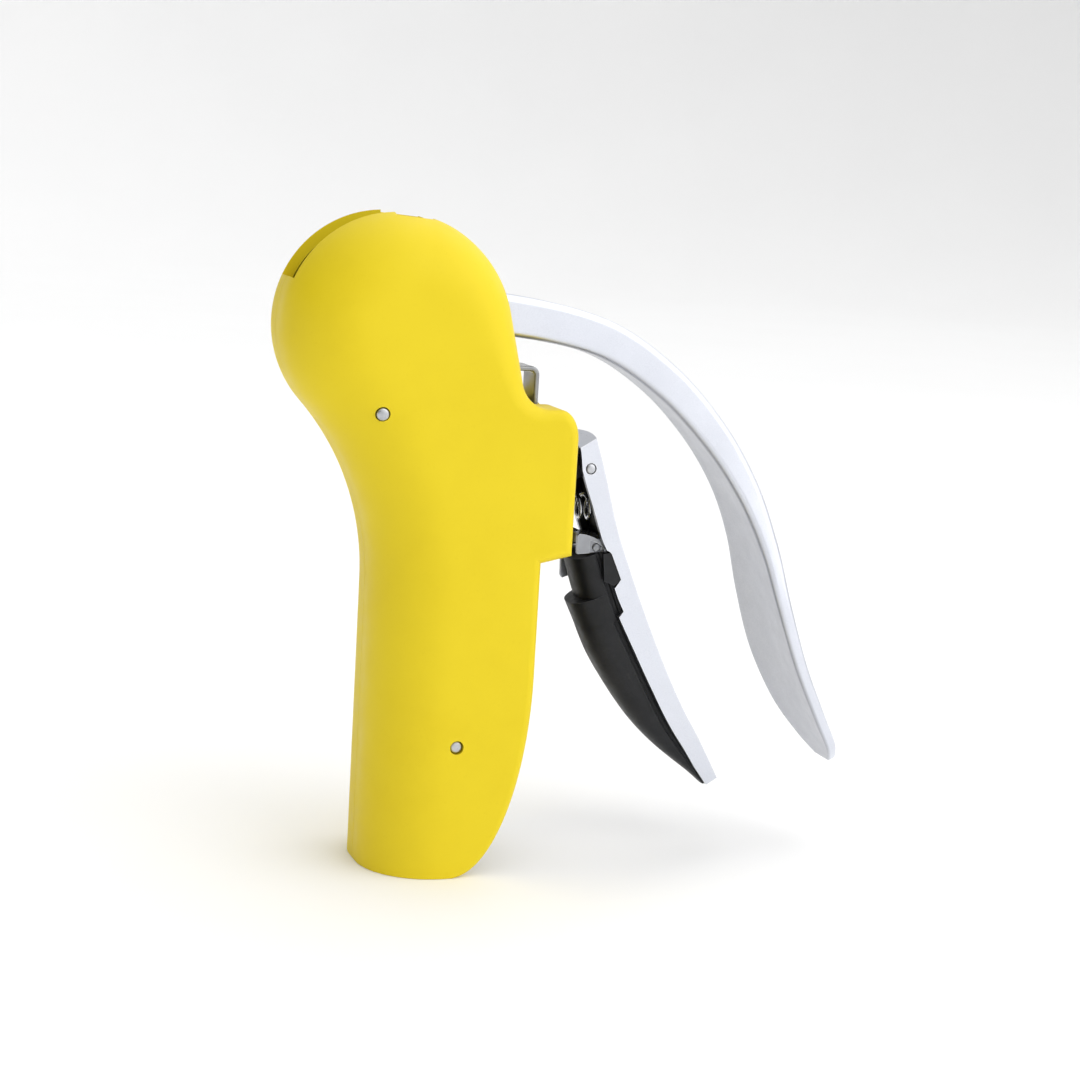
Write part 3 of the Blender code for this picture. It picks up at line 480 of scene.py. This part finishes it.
def oiled_steel():
    """Inner steel plates and gears: rolled grain with a film of grease that gathers in patches."""
    s = Surface("oiled_steel", 0.35, 1.0)
    rolled = s.noise(1.5, 5.0, stretch=(1, 1, 0.12))
    colour = s.ramp(rolled, (0.3, (0.40, 0.41, 0.43)), (0.7, (0.58, 0.59, 0.61)))
    grease = s.ramp(s.noise(2.0), (0.3, (0.30, 0.29, 0.27)), (0.7, (0.38, 0.37, 0.34)))
    colour = s.mix(s.spread(s.noise(7.0, 4.0, distortion=0.4), 0.0, 0.7, 0.5, 0.68), colour, grease)
    bright = s.ramp(s.noise(1.0), (0.3, (0.7, 0.7, 0.72)), (0.7, (0.8, 0.8, 0.82)))
    colour = s.worn_edges(colour, bright)
    s.bump(s.noise(0.4, 3.0, stretch=(1, 1, 0.1)), 0.2, 0.012)
    return s.done(colour, s.spread(s.noise(7.0, 4.0, distortion=0.4), 0.42, 0.20, 0.45, 0.68))


def black_rubber():
    """Moulded black rubber: fine stipple, dusty patches and slightly greyer edges."""
    s = Surface("black_rubber", 0.55)
    s.shader.inputs["Specular IOR Level"].default_value = 0.3
    colour = s.ramp(s.noise(4.0, 4.0), (0.3, (0.006, 0.0064, 0.0075)), (0.7, (0.012, 0.0126, 0.0145)))
    dust = s.ramp(s.noise(0.6, 3.0), (0.4, (0.012, 0.0125, 0.014)), (0.7, (0.028, 0.029, 0.032)))
    colour = s.mix(s.spread(s.noise(9.0, 3.0), 0.0, 0.4, 0.45, 0.7), colour, dust)
    grey = s.ramp(s.noise(1.0), (0.3, (0.03, 0.031, 0.034)), (0.7, (0.045, 0.046, 0.050)))
    colour = s.worn_edges(colour, grey)
    s.bump(s.noise(0.25, 2.0), 0.3, 0.02)
    return s.done(colour, s.spread(s.noise(3.0, 4.0), 0.38, 0.56))


def black_plastic():
    """Black glass-filled plastic with a faint flow pattern."""
    s = Surface("black_plastic", 0.4)
    flow = s.noise(6.0, 5.0, distortion=0.6)
    colour = s.ramp(flow, (0.3, (0.005, 0.005, 0.0055)), (0.7, (0.010, 0.010, 0.011)))
    grey = s.ramp(s.noise(1.0), (0.3, (0.02, 0.02, 0.022)), (0.7, (0.03, 0.03, 0.032)))
    colour = s.worn_edges(colour, grey)
    s.bump(s.noise(0.3, 3.0), 0.2, 0.012)
    return s.done(colour, s.spread(s.noise(2.0, 4.0), 0.30, 0.46))


def floor_paper():
    """Pale studio paper."""
    s = Surface("floor_paper", 0.9)
    colour = s.ramp(s.noise(180.0, 3.0), (0.3, (0.955, 0.955, 0.955)), (0.7, (0.97, 0.97, 0.97)))
    s.bump(s.noise(0.8, 4.0), 0.1, 0.02)
    return s.done(colour, s.spread(s.noise(20.0), 0.85, 0.95))


LOOKS = {
    "yellow": yellow_plastic(), "satin": satin_metal(), "bright": bright_metal(), "dark": dark_metal(),
    "turned": turned_steel(), "oiled": oiled_steel(), "rubber": black_rubber(),
    "plastic": black_plastic(),
}


def dress(piece, look, body, *nodes):
    """Gives a finished piece its material, its body and the CAD nodes it stands for."""
    piece.data.materials.clear()
    piece.data.materials.append(LOOKS[look])
    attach(piece, body)
    if nodes:
        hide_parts(*nodes)


# Body shells

def body_path(inset):
    """The body's outline from the foot of its back, over the head, to the bump, moved inwards.

    Each station is a point, the inward direction there, and the rolling radius of the edge.
    """
    stations = [(-HALF_DEPTH, 0.0, 1.0, 0.0, BACK_ROUND)]
    for step in range(1, BACK_STEPS):
        stations.append((-HALF_DEPTH, WAIST_Z * step / BACK_STEPS, 1.0, 0.0, BACK_ROUND))
    rise = HEAD_Z - WAIST_Z
    back = HEAD_X + HALF_DEPTH
    waist_r = (rise ** 2 + back ** 2 - HEAD_R ** 2) / (2 * (HEAD_R - back))
    waist_x = -HALF_DEPTH - waist_r
    lean = math.atan2(rise, HEAD_X - waist_x)
    for step in range(WAIST_STEPS + 1):
        angle = lean * step / WAIST_STEPS
        c, s = math.cos(angle), math.sin(angle)
        stations.append((waist_x + waist_r * c, WAIST_Z + waist_r * s, c, s, BACK_ROUND))
    first = math.pi + lean
    for step in range(1, HEAD_STEPS + 1):
        angle = first + (CHEEK_LEAN - first) * step / HEAD_STEPS
        c, s = math.cos(angle), math.sin(angle)
        round_r = BACK_ROUND - CHEEK_LOSS * max(0.0, 1.0 - angle / CHEEK_FROM)
        stations.append((HEAD_X + HEAD_R * c, HEAD_Z + HEAD_R * s, -c, -s, round_r))
    fillet_z = BUMP_TOP + CHEEK_FILLET
    reach = HEAD_R + CHEEK_FILLET + (HEAD_Z - fillet_z) * math.sin(CHEEK_LEAN)
    fillet_x = HEAD_X + reach / math.cos(CHEEK_LEAN)
    for step in range(FILLET_STEPS + 1):
        angle = math.pi + CHEEK_LEAN + (math.pi / 2 - CHEEK_LEAN) * step / FILLET_STEPS
        c, s = math.cos(angle), math.sin(angle)
        round_r = FRONT_ROUND + FILLET_MORE * (1 - step / FILLET_STEPS)
        stations.append((fillet_x + CHEEK_FILLET * c, fillet_z + CHEEK_FILLET * s, c, s, round_r))
    return [(x + nx * inset, z + nz * inset, nx, nz, r - inset) for x, z, nx, nz, r in stations]


def bump_and_tail():
    """The rest of the outline: the bump, the tube's front edge and the curve back to the mouth."""
    corner = (BUMP_FRONT - BUMP_CORNER_X, BUMP_TOP - BUMP_CORNER_Z)
    stations = []
    for step in range(CORNER_STEPS + 1):
        angle = math.pi / 2 * (1 - step / CORNER_STEPS)
        c, s = math.cos(angle), math.sin(angle)
        inward = Vector((-c / BUMP_CORNER_X, -s / BUMP_CORNER_Z)).normalized()
        stations.append((corner[0] + BUMP_CORNER_X * c, corner[1] + BUMP_CORNER_Z * s,
                         inward.x, inward.y, FRONT_ROUND))
    slope = Vector((-BUMP_RISE, BUMP_FRONT - FRONT_X)).normalized()
    mitre_x, mitre_z = -1.0, (1 + slope.x) / slope.y
    stations.append((BUMP_FRONT, BUMP_BOTTOM + BUMP_RISE, mitre_x, mitre_z, FRONT_ROUND))
    stations.append((FRONT_X, BUMP_BOTTOM, mitre_x, mitre_z, FRONT_ROUND))
    for step in range(TAIL_STEPS + 1):
        angle = math.pi / 2 * step / TAIL_STEPS
        c, s = math.cos(angle), math.sin(angle)
        inward = Vector((-c / FRONT_X, s / TAIL_HEIGHT)).normalized()
        round_r = FRONT_ROUND * math.sqrt(max(0.0, c)) if step < TAIL_STEPS else 0.0
        stations.append((FRONT_X * c, TAIL_HEIGHT * (1 - s), inward.x, inward.y, round_r))
    return stations


def rounded_half(name, stations, base, depth, side, steps):
    """Half of a body: its outline at base, rolled over into a side that is flat at depth."""
    points = []
    for x, z, nx, nz, radius in stations:
        points.append((x, side * base, z))
        for step in range(steps + 1):
            angle = math.pi / 2 * step / steps
            inset = radius * (1 - math.cos(angle))
            y = depth - radius * (1 - math.sin(angle))
            points.append((x + nx * inset, side * y, z + nz * inset))
        inset = radius + min(FLAT_RIM, 0.5 * radius)
        points.append((x + nx * inset, side * depth, z + nz * inset))
    chain, count = steps + 3, len(stations)
    faces = []
    for station in range(count - 1):
        for step in range(chain - 1):
            near = station * chain + step
            faces.append((near, near + 1, near + chain + 1, near + chain))
    faces.append(tuple(range(0, count * chain, chain)))
    faces.append(tuple(range(chain - 1, count * chain, chain)))
    end = range((count - 1) * chain, count * chain)
    faces.append(tuple(list(range(chain)) + list(end)[::-1]))
    return new_piece(name, points, faces)


def slot_outline():
    """Area in front of and above the lever's axis that the slot takes out of the shells."""
    far = 60.0
    end = (HEAD_X + far * math.cos(SLOT_END), HEAD_Z + far * math.sin(SLOT_END))
    top, floor = HEAD_Z + far, BUMP_TOP - 2 * WALL - 0.3
    return [(HEAD_X, HEAD_Z), end, (end[0], top), (far, top), (far, floor), (HEAD_X, floor)]


def build_shells():
    """The two yellow shells, hollow, with the lever's slot, its notch and the pins' holes."""
    beyond = 45.0
    top = HEAD_Z + HEAD_R
    back, front = HEAD_X + NOTCH_BACK, HEAD_X + NOTCH_FRONT
    notch = [(back, top - NOTCH_BACK_DEPTH), (front, top - NOTCH_FRONT_DEPTH),
             (front, top + 1), (back, top + 1)]
    for label, side in (("near", -1), ("far", 1)):
        outline = body_path(0.0) + bump_and_tail()
        shell = rounded_half("body_shell_" + label, outline, SEAM, HALF_DEPTH, side, 14)
        inner = body_path(WALL)
        foot, edge = inner[0], inner[-1][4]
        inner[0] = (foot[0], -5.0, foot[2], foot[3], foot[4])
        inner.append((beyond, BUMP_TOP - WALL, -1.0, -1.0, edge))
        inner.append((beyond, -5.0, -1.0, 0.0, edge))
        boolean(shell, rounded_half("cavity", inner, -1.0, HALF_DEPTH - WALL, side, 8))
        boolean(shell, plate("slot", slot_outline(), -SLOT_HALF, SLOT_HALF))
        notch_half = SLOT_HALF + NOTCH_SIDE
        boolean(shell, plate("notch", notch, -notch_half, notch_half))
        for place in PINS.values():
            reach = sorted((side * (HALF_DEPTH - 2 * WALL), side * (HALF_DEPTH + 1)))
            boolean(shell, plate("hole", circle(place, PIN_HOLE_R, 40), *reach))
        bevel(shell, 0.22, 3, 40)
        dress(settle(shell, 20), "yellow", "body", "shell_" + label)


def build_body_pins():
    """Pins with a rounded head, set just below the body's side."""
    for label, place in PINS.items():
        for side_name, side in (("near", -1), ("far", 1)):
            node = f"{label}_pin_{side_name}"
            low, high = limits(node)
            outer = HALF_DEPTH - PIN_RECESS
            inner = min(abs(low.y), abs(high.y))
            profile = [(PIN_R, inner), (PIN_R, outer - 0.5), (PIN_R - 0.06, outer - 0.28),
                       (PIN_R - 0.22, outer - 0.12), (PIN_R - 0.5, outer - 0.04), (0.6, outer),
                       (0.01, outer + 0.01)]
            pin = turned("pin_" + label + "_" + side_name, [(r, side * y) for r, y in profile], place)
            dress(settle(pin, 50), "turned", "body", node)


# Gears

def involute(base, radius):
    """Turn of an involute of the base circle from its start out to radius."""
    if radius <= base:
        return 0.0
    roll = math.sqrt((radius / base) ** 2 - 1)
    return roll - math.atan(roll)


def tooth(pitch_r, centre_angle, steps=7):
    """One gear tooth about its own centre, as (angle, radius) pairs from root to root."""
    base = pitch_r * math.cos(PRESSURE_ANGLE)
    root, tip = pitch_r - DEDENDUM, pitch_r + ADDENDUM
    half = TOOTH_SHARE * math.pi * MODULE / pitch_r / 2 + involute(base, pitch_r)
    start = max(root, base)
    flank = [start + (tip - start) * step / steps for step in range(steps + 1)]
    if root < base:
        flank.insert(0, root)
    rising = [(centre_angle - half + involute(base, r), r) for r in flank]
    falling = [(centre_angle + half - involute(base, r), r) for r in reversed(flank)]
    return rising + falling


def polar(centre, pairs):
    return [(centre[0] + r * math.cos(a), centre[1] + r * math.sin(a)) for a, r in pairs]


def build_idler():
    """Pinion with broken edges and a bore."""
    low, high = limits("idler_pinion")
    pitch = 2 * math.pi / IDLER_TEETH
    pairs = []
    for index in range(IDLER_TEETH):
        pairs += tooth(MODULE * IDLER_TEETH / 2, math.pi / 2 + (index + 0.5) * pitch)
    gear = plate("pinion", polar((IDLER_X, IDLER_Z), pairs), low.y, high.y)
    boolean(gear, plate("bore", circle((IDLER_X, IDLER_Z), 2.3, 32), low.y - 1, high.y + 1))
    bevel(gear, 0.12, 2, 50)
    dress(settle(gear, 30), "oiled", "idler", "idler_pinion")


# Lever

def arm_rings(steps, corner_steps):
    """Rounded oblong sections along the arm, dished on the inner face where the arm is wide."""
    rows = smooth_rows(ARM, steps)
    rings = []
    for (x, z, half, thick), way in zip(rows, directions(rows)):
        inward = Vector((way.y, -way.x))
        corner = min(ARM_EDGE, thick * 0.34)
        dish = SPOON_DISH * max(0.0, half - ARM[0][2])
        ring = []
        for centre_y, depth, first in ((1, thick - corner, 0), (1, corner, -90),
                                       (-1, corner, 180), (-1, thick - corner, 90)):
            for step in range(corner_steps + 1):
                angle = math.radians(first + 90 - 90 * step / corner_steps)
                y = centre_y * (half - corner) + corner * math.cos(angle)
                ring.append((y, depth + corner * math.sin(angle)))
        inner_steps = 13
        for step in range(1, inner_steps):
            share = 2 * step / inner_steps - 1
            hollow = dish * (1 - share * share)
            ring.append((share * (half - corner), thick - hollow))
        rings.append([(x + inward.x * d, y, z + inward.y * d) for y, d in ring])
    return rings


def hub_sector():
    """Teeth on the hub's far side from the arm, from the mesh with the pinion round to the top."""
    pitch = 2 * math.pi / HUB_TEETH
    last = math.ceil(LEVER_SWING / pitch) + 1
    pairs = []
    for index in range(-last, 2):
        pairs += tooth(HUB_R, -math.pi / 2 + index * pitch)
    back = arc((HEAD_X, HEAD_Z), HUB_CORE_R - 3.0, pairs[-1][0], pairs[0][0], 40)
    return polar((HEAD_X, HEAD_Z), pairs) + back


def build_lever():
    """Toothed hub and arm, cast in one."""
    centre = (HEAD_X, HEAD_Z)
    lever = loft("lever_arm", arm_rings(9, 6))
    half = ARM[0][2] + 0.05
    boolean(lever, plate("core", circle(centre, HUB_CORE_R, 72), -half, half), "UNION")
    boolean(lever, plate("sector", hub_sector(), -HUB_HALF, HUB_HALF), "UNION")
    boolean(lever, plate("bore", circle(centre, LEVER_BORE_R, 48), -2 * half, 2 * half))
    bevel(lever, 0.18, 2, 48)
    dress(settle(lever, 35), "satin", "lever", "lever")


# Trigger

def channel_section(half, depth, crown, steps=14):
    """Crowned back and two flanges, as (y, distance in from the back edge) pairs round the sheet."""
    inner = half - TRIGGER_SHEET
    back = [half * (1 - 2 * step / steps) for step in range(steps + 1)]
    outside = [(y, -crown * (1 - (y / half) ** 2)) for y in back]
    inside = [(y * inner / half, TRIGGER_SHEET - crown * (1 - (y / half) ** 2)) for y in reversed(back)]
    return [(half, depth), *outside, (-half, depth), (-inner, depth), *inside, (inner, depth)]


def build_trigger_channel():
    """Pressed channel with a closed top, notched flanges and softened bends."""
    rows = smooth_rows(TRIGGER, 14)
    ways = directions(rows)
    rings = []
    for index, ((x, z, half), way) in enumerate(zip(rows, ways)):
        inward = Vector((way.y, -way.x))
        lean = inward + way * (ROOF_SLOPE * max(0.0, 1 - index / ROOF_ROWS))
        section = channel_section(half, along(FLANGE, z), TRIGGER_CROWN * half)
        rings.append([(x + lean.x * d, y, z + lean.y * d) for y, d in section])
    channel = loft("trigger_back", rings)
    x, z, half = rows[0]
    way = ways[0]
    lean = Vector((way.y, -way.x)) + way * ROOF_SLOPE
    edge, depth = 0.2, FLANGE[0][1] - 0.3
    outer_points = 17               # the section's outer side, from one flange's edge to the other's
    section = channel_section(half - edge, depth, TRIGGER_CROWN * half)[:outer_points]
    section = [(y, d + edge if d < depth else d) for y, d in section]
    roof = [[(x + way.x * drop + lean.x * d, y, z + way.y * drop + lean.y * d) for y, d in section]
            for drop in (0.02, TRIGGER_SHEET)]
    boolean(channel, loft("roof", roof), "UNION")
    boolean(channel, plate("bore", circle((PIVOT_X, PIVOT_Z), PIVOT_HOLE_R, 40), -20.0, 20.0))
    bevel(channel, 0.28, 3, 38)
    dress(settle(channel, 20), "satin", "trigger", "trigger_channel")


def build_trigger_pin():
    """Pin with a domed head at each end."""
    end = limits("trigger_pin")[1].y
    profile = [(0.01, -end - 0.02), (0.55, -end), (1.0, -end + 0.08), (1.22, -end + 0.25),
               (1.28, -end + 0.5)]
    profile += [(r, -y) for r, y in reversed(profile)]
    pin = turned("pin_trigger", profile, (PIVOT_X, PIVOT_Z))
    dress(settle(pin, 50), "turned", "trigger", "trigger_pin")


def pad_section(half, flange, front):
    """One section of the pad, as (y, distance in from the back edge) pairs.

    A groove runs along the flange's edge, then a rib, and from there the pad rounds over to its front.
    """
    wide = half - TRIGGER_SHEET - 0.12
    room = min(1.0, max(0.05, (front - flange) / 6.0))
    rib = flange + SHOULDER * room
    side = [(wide, TRIGGER_SHEET + 0.12), (wide, flange + 0.1 * room),
            (wide - 0.8 * room, flange + 0.35 * room), (wide - 0.8 * room, rib - 0.35 * room),
            (wide, rib)]
    steps = 22
    curve = []
    for step in range(1, 2 * steps):
        angle = math.pi / 2 * step / steps
        c, s = math.cos(angle), math.sin(angle)
        y = math.copysign(wide * abs(c) ** PAD_SQUARE, c)
        curve.append((y, rib + (front - rib) * s ** PAD_SQUARE))
    return side + curve + [(-y, d) for y, d in reversed(side)]


def dense(table):
    """A table's rows with a smooth curve between them."""
    return smooth_rows(table, 12)


def pad_part(name, rows, depths):
    """A stretch of the pad between two heights on the trigger's back edge."""
    rings = []
    for (x, z, half), way in rows:
        inward = Vector((way.y, -way.x))
        section = pad_section(half, along(FLANGE, z) if z < RIB_FROM else RIB_LEVEL, along(depths, z))
        rings.append([(x + inward.x * d, y, z + inward.y * d) for y, d in section])
    return loft(name, rings)


def painted_shade_sheet(rows):
    """Thin black U of rubber along the inside of the channel behind the spring, joined to the pad; it
    is painted shade that stands in for the shadow there.
    """
    rings = []
    for (x, z, half), way in rows:
        inward = Vector((way.y, -way.x))
        wide, low, rim = half - TRIGGER_SHEET - 0.1, TRIGGER_SHEET + 0.1, along(FLANGE, z) - 0.25
        section = [(wide, low), (wide, rim), (wide - 0.6, rim), (wide - 0.6, low + 0.6)]
        section += [(-y, d) for y, d in reversed(section)]
        rings.append([(x + inward.x * d, y, z + inward.y * d) for y, d in section])
    return loft("shade_sheet_piece", rings)


def build_pad():
    """Rubber pad: a boss above, a long crescent below and a clip that fills each flange's notch."""
    rows = smooth_rows(TRIGGER, 24)
    rows = list(zip(rows, directions(rows)))
    step_rows = [row for row in rows if PAD_STEP - 1.2 < row[0][1] < BOSS_TOP]
    pad = pad_part("pad", [row for row in rows if row[0][1] < PAD_STEP], dense(CRESCENT_DEPTH))
    boolean(pad, pad_part("boss", step_rows, dense(BOSS_DEPTH)), "UNION")
    clip = [(38.6, 78.9), (40.7, 78.9), (41.7, 77.9), (42.3, 76.0), (43.9, 71.6), (42.0, 70.2),
            (39.4, 71.4)]
    boolean(pad, plate("clip", clip, -8.62, 8.62), "UNION")
    lid = [(20.0, 74.9), (50.0, 80.2), (50.0, 95.0), (20.0, 95.0)]
    boolean(pad, plate("lid", lid, -12.0, 12.0))
    # The black sheet inside the channel is painted shade, not a real part.
    boolean(pad, painted_shade_sheet([row for row in rows if SHADE_SHEET_BOTTOM < row[0][1] < SHADE_SHEET_TOP]), "UNION")
    bevel(pad, 0.25, 3, 50)
    dress(settle(pad, 42), "rubber", "trigger", "trigger_pad")


def build_jaw():
    """Bright hollowed plate between two low cheeks with an arched rim, its stud and a lug."""
    centre_x, hollow_r, inner, outer = 24.5, 11.0, 5.7, 6.9
    cheek = [(32.4, 78.0), (32.2, 82.6), (33.4, 83.0), (35.0, 82.7), (36.7, 82.1), (38.4, 81.2),
             (39.8, 80.2), (40.3, 79.2), (40.2, 78.4)]
    panel = [(35.6, 77.6), (35.6, 81.5), (37.6, 80.7), (39.3, 79.6), (39.6, 78.2)]
    jaw = disc("jaw", box((JAW_LOW.x, -outer + 0.2), (JAW_HIGH.x, outer - 0.2)), JAW_LOW.z, 81.8)
    boolean(jaw, disc("hollow", circle((centre_x, 0.0), hollow_r, 64), 70.0, 90.0))
    for side in (-1, 1):
        low, high = sorted((side * inner, side * outer))
        boolean(jaw, plate("cheek", smooth_rows(cheek, 2), low, high), "UNION")
        reach = sorted((side * (outer - 0.8), side * (outer + 1)))
        boolean(jaw, plate("panel", panel, *reach))
    bevel(jaw, 0.14, 3, 30)
    dress(settle(jaw, 35), "dark", "trigger", "trigger_jaw")
    lug = [(32.7, 79.4), (33.0, 70.2), (33.6, 69.3), (35.3, 69.9), (36.2, 79.4)]
    lug = plate("jaw_lug", lug, 6.3, 7.1)
    bevel(lug, 0.2, 3, 30)
    dress(settle(lug, 35), "satin", "trigger")
    profile = [(0.3, -6.75), (0.8, -6.7), (1.0, -6.6), (1.1, -6.4), (1.1, -5.5)]
    head = turned("jaw_stud", profile, (37.6, 79.5), 40)
    dress(settle(head, 50), "dark", "trigger")


def build_strap():
    """Bright strap bent into an arch, its edges rolled soft."""
    low, high = limits("bridge_strap")
    sheet, turn = 1.2, 2.2
    left, right, foot, top, half = low.x, high.x, low.z, high.z, high.y
    corners = (((left + turn, top - turn), math.pi, math.pi / 2),
               ((right - turn, top - turn), math.pi / 2, 0.0))
    outer, inner = [(left, foot)], []
    for centre, start, end in corners:
        outer += arc(centre, turn, start, end, 12)
        inner += arc(centre, turn - sheet, start, end, 12)
    outer.append((right, foot))
    inner = [(right - sheet, foot), *reversed(inner), (left + sheet, foot)]
    strap = plate("strap", outer + inner, -half, half)
    bevel(strap, 0.42, 4, 60)
    dress(settle(strap, 40), "dark", "body", "bridge_strap")


def build_spring():
    """Coil between the bracket's seat and the trigger's back, made at one length; the real one shortens
    as the trigger closes.
    """
    low, high = limits("trigger_spring")
    start, end = low.x + SPRING_WIRE_R, high.x - SPRING_WIRE_R
    steps = 36 * SPRING_TURNS
    path = []
    for index in range(steps + 1):
        angle = 2 * math.pi * SPRING_TURNS * index / steps
        x = start + (end - start) * index / steps
        path.append((x, SPRING_R * math.cos(angle), SPRING_Z + SPRING_R * math.sin(angle)))
    coil = wire("coil", path, SPRING_WIRE_R, 14)
    dress(settle(coil, 60), "bright", "body", "trigger_spring")
    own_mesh(coil)


def build_worm():
    """Plated wire that hangs from the carriage and winds into a right-hand helix, sharp at its tip."""
    low, high = limits("worm")
    start, tip = HELIX_START, low.z + 0.2
    path, radii = [(0.0, 0.0, high.z), (0.0, 0.0, start + 3.0)], [WORM_WIRE_R, WORM_WIRE_R]
    turns = (start - tip) / HELIX_PITCH
    count = int(turns * 40)
    for index in range(count + 1):
        share = index / count
        angle = -2 * math.pi * turns * share
        reach = HELIX_R * min(1.0, turns * share / HELIX_GROWTH)
        path.append((reach * math.cos(angle), reach * math.sin(angle), start + (tip - start) * share))
        radii.append(WORM_WIRE_R * min(1.0, WORM_POINT + WORM_TAPER * (1 - share)))
    dress(settle(wire("screw", path, WORM_WIRE_R, 20, radii), 50), "bright", "worm", "worm")


def refine(node, look, body, width, angle=35):
    """A copy of a CAD node with its edges broken, which stands for it."""
    mesh = frame["nodes"][node].data.copy()
    work = bmesh.new()
    work.from_mesh(mesh)
    bmesh.ops.remove_doubles(work, verts=work.verts, dist=0.002 * MM)
    bmesh.ops.dissolve_limit(work, verts=work.verts, edges=work.edges, angle_limit=math.radians(0.5))
    work.to_mesh(mesh)
    work.free()
    piece = bpy.data.objects.new(node + "_piece", mesh)
    bpy.context.collection.objects.link(piece)
    bevel(piece, width, 2, angle)
    dress(settle(piece, angle), look, body, node)


def build_inner_parts():
    """Chassis, axles, racks, carriage, guide block, liner and bracket."""
    for node, look, body, width in (
            ("chassis_near", "oiled", "body", 0.2), ("chassis_far", "oiled", "body", 0.2),
            ("lever_axle", "turned", "body", 0.3), ("idler_axle", "turned", "body", 0.3),
            ("stop_pin", "turned", "body", 0.25), ("rack_near", "oiled", "carriage", 0.1),
            ("rack_far", "oiled", "carriage", 0.1), ("carriage", "plastic", "carriage", 0.3),
            ("worm_washer", "turned", "carriage", 0.15), ("worm_nut", "turned", "carriage", 0.25),
            ("guide_block", "plastic", "body", 0.35), ("neck_liner", "rubber", "body", 0.3),
            ("trigger_bracket", "plastic", "body", 0.35), ("jaw_rivet", "turned", "trigger", 0.2)):
        refine(node, look, body, width)


# Stage, light and camera

def build_stage():
    """A plain round floor that curves up to a low rim far from the object."""
    low = CAD_BOUNDS[0][2] / MM - 0.1
    inner, middle, flat, rim = 300.0, 900.0, 2200.0, 560.0
    profile = [(inner, low), (middle, low), *arc((flat, low + rim), rim, -math.pi / 2, 0.0, 16)]
    steps = 96
    points = [(x, y, z) for radius, z in profile for x, y in circle((0.0, 0.0), radius, steps)]
    faces = [tuple(range(steps))]
    for ring in range(len(profile) - 1):
        for step in range(steps):
            after = (step + 1) % steps
            near, far = ring * steps, (ring + 1) * steps
            faces.append((near + step, near + after, far + after, far + step))
    floor = new_piece("studio_floor", points, faces)
    floor.data.shade_smooth()
    floor.data.materials.append(floor_paper())


def add_light(name, place, target, size, power):
    """A soft box of the given width and height, in metres, that faces the target."""
    data = bpy.data.lights.new(name, "AREA")
    data.shape = "RECTANGLE"
    data.size, data.size_y = size
    data.energy = power
    light = bpy.data.objects.new(name, data)
    bpy.context.collection.objects.link(light)
    light.location = place
    light.rotation_euler = (Vector(target) - Vector(place)).to_track_quat("-Z", "Y").to_euler()


def build_lights():
    """A world that is bright to the right, in front and above, and two soft boxes."""
    centre = (0.025, 0.0, 0.08)
    add_light("key", (0.52, -0.55, 0.45), centre, (0.8, 0.8), 1.9)
    add_light("top", (0.3, 0.2, 1.3), centre, (1.2, 1.2), 2.4)
    world = bpy.data.worlds.new("studio")
    world.use_nodes = True
    tree = world.node_tree
    direction = tree.nodes.new("ShaderNodeTexCoord").outputs["Generated"]
    towards = tree.nodes.new("ShaderNodeVectorMath")
    towards.operation = "DOT_PRODUCT"
    towards.inputs[1].default_value = Vector((0.62, -0.10, 0.74)).normalized()
    tree.links.new(direction, towards.inputs[0])
    spread = tree.nodes.new("ShaderNodeMapRange")
    for key, value in (("From Min", -0.35), ("From Max", 0.9), ("To Min", 0.03), ("To Max", 1.42)):
        spread.inputs[key].default_value = value
    tree.links.new(towards.outputs["Value"], spread.inputs["Value"])
    tree.links.new(spread.outputs["Result"], tree.nodes["Background"].inputs["Strength"])
    tree.nodes["Background"].inputs["Color"].default_value = (1.0, 1.0, 1.0, 1.0)
    bpy.context.scene.world = world
    bpy.context.scene.view_settings.view_transform = "Standard"


def build_camera():
    """Camera in front, to the left and a little above, rolled so that the object leans to the right."""
    target = Vector((0.0248, 0.0, 0.0803))
    around, away, height, roll = math.radians(-19.8), 0.551, 0.176, math.radians(3.4)
    place = Vector((target.x + away * math.sin(around), target.y - away * math.cos(around), height))
    data = bpy.data.cameras.new("camera")
    data.sensor_width = 36.0
    data.lens = 74.57
    data.clip_start, data.clip_end = 0.01, 20.0
    camera = bpy.data.objects.new("camera", data)
    bpy.context.collection.objects.link(camera)
    turn = (target - place).to_track_quat("-Z", "Y").to_matrix().to_4x4()
    camera.matrix_world = Matrix.Translation(place) @ turn @ Matrix.Rotation(roll, 4, "Z")
    bpy.context.scene.camera = camera


build_shells()
build_body_pins()
build_idler()
build_lever()
build_trigger_channel()
build_trigger_pin()
build_pad()
build_jaw()
build_strap()
build_spring()
build_worm()
build_inner_parts()
build_stage()
build_lights()
build_camera()
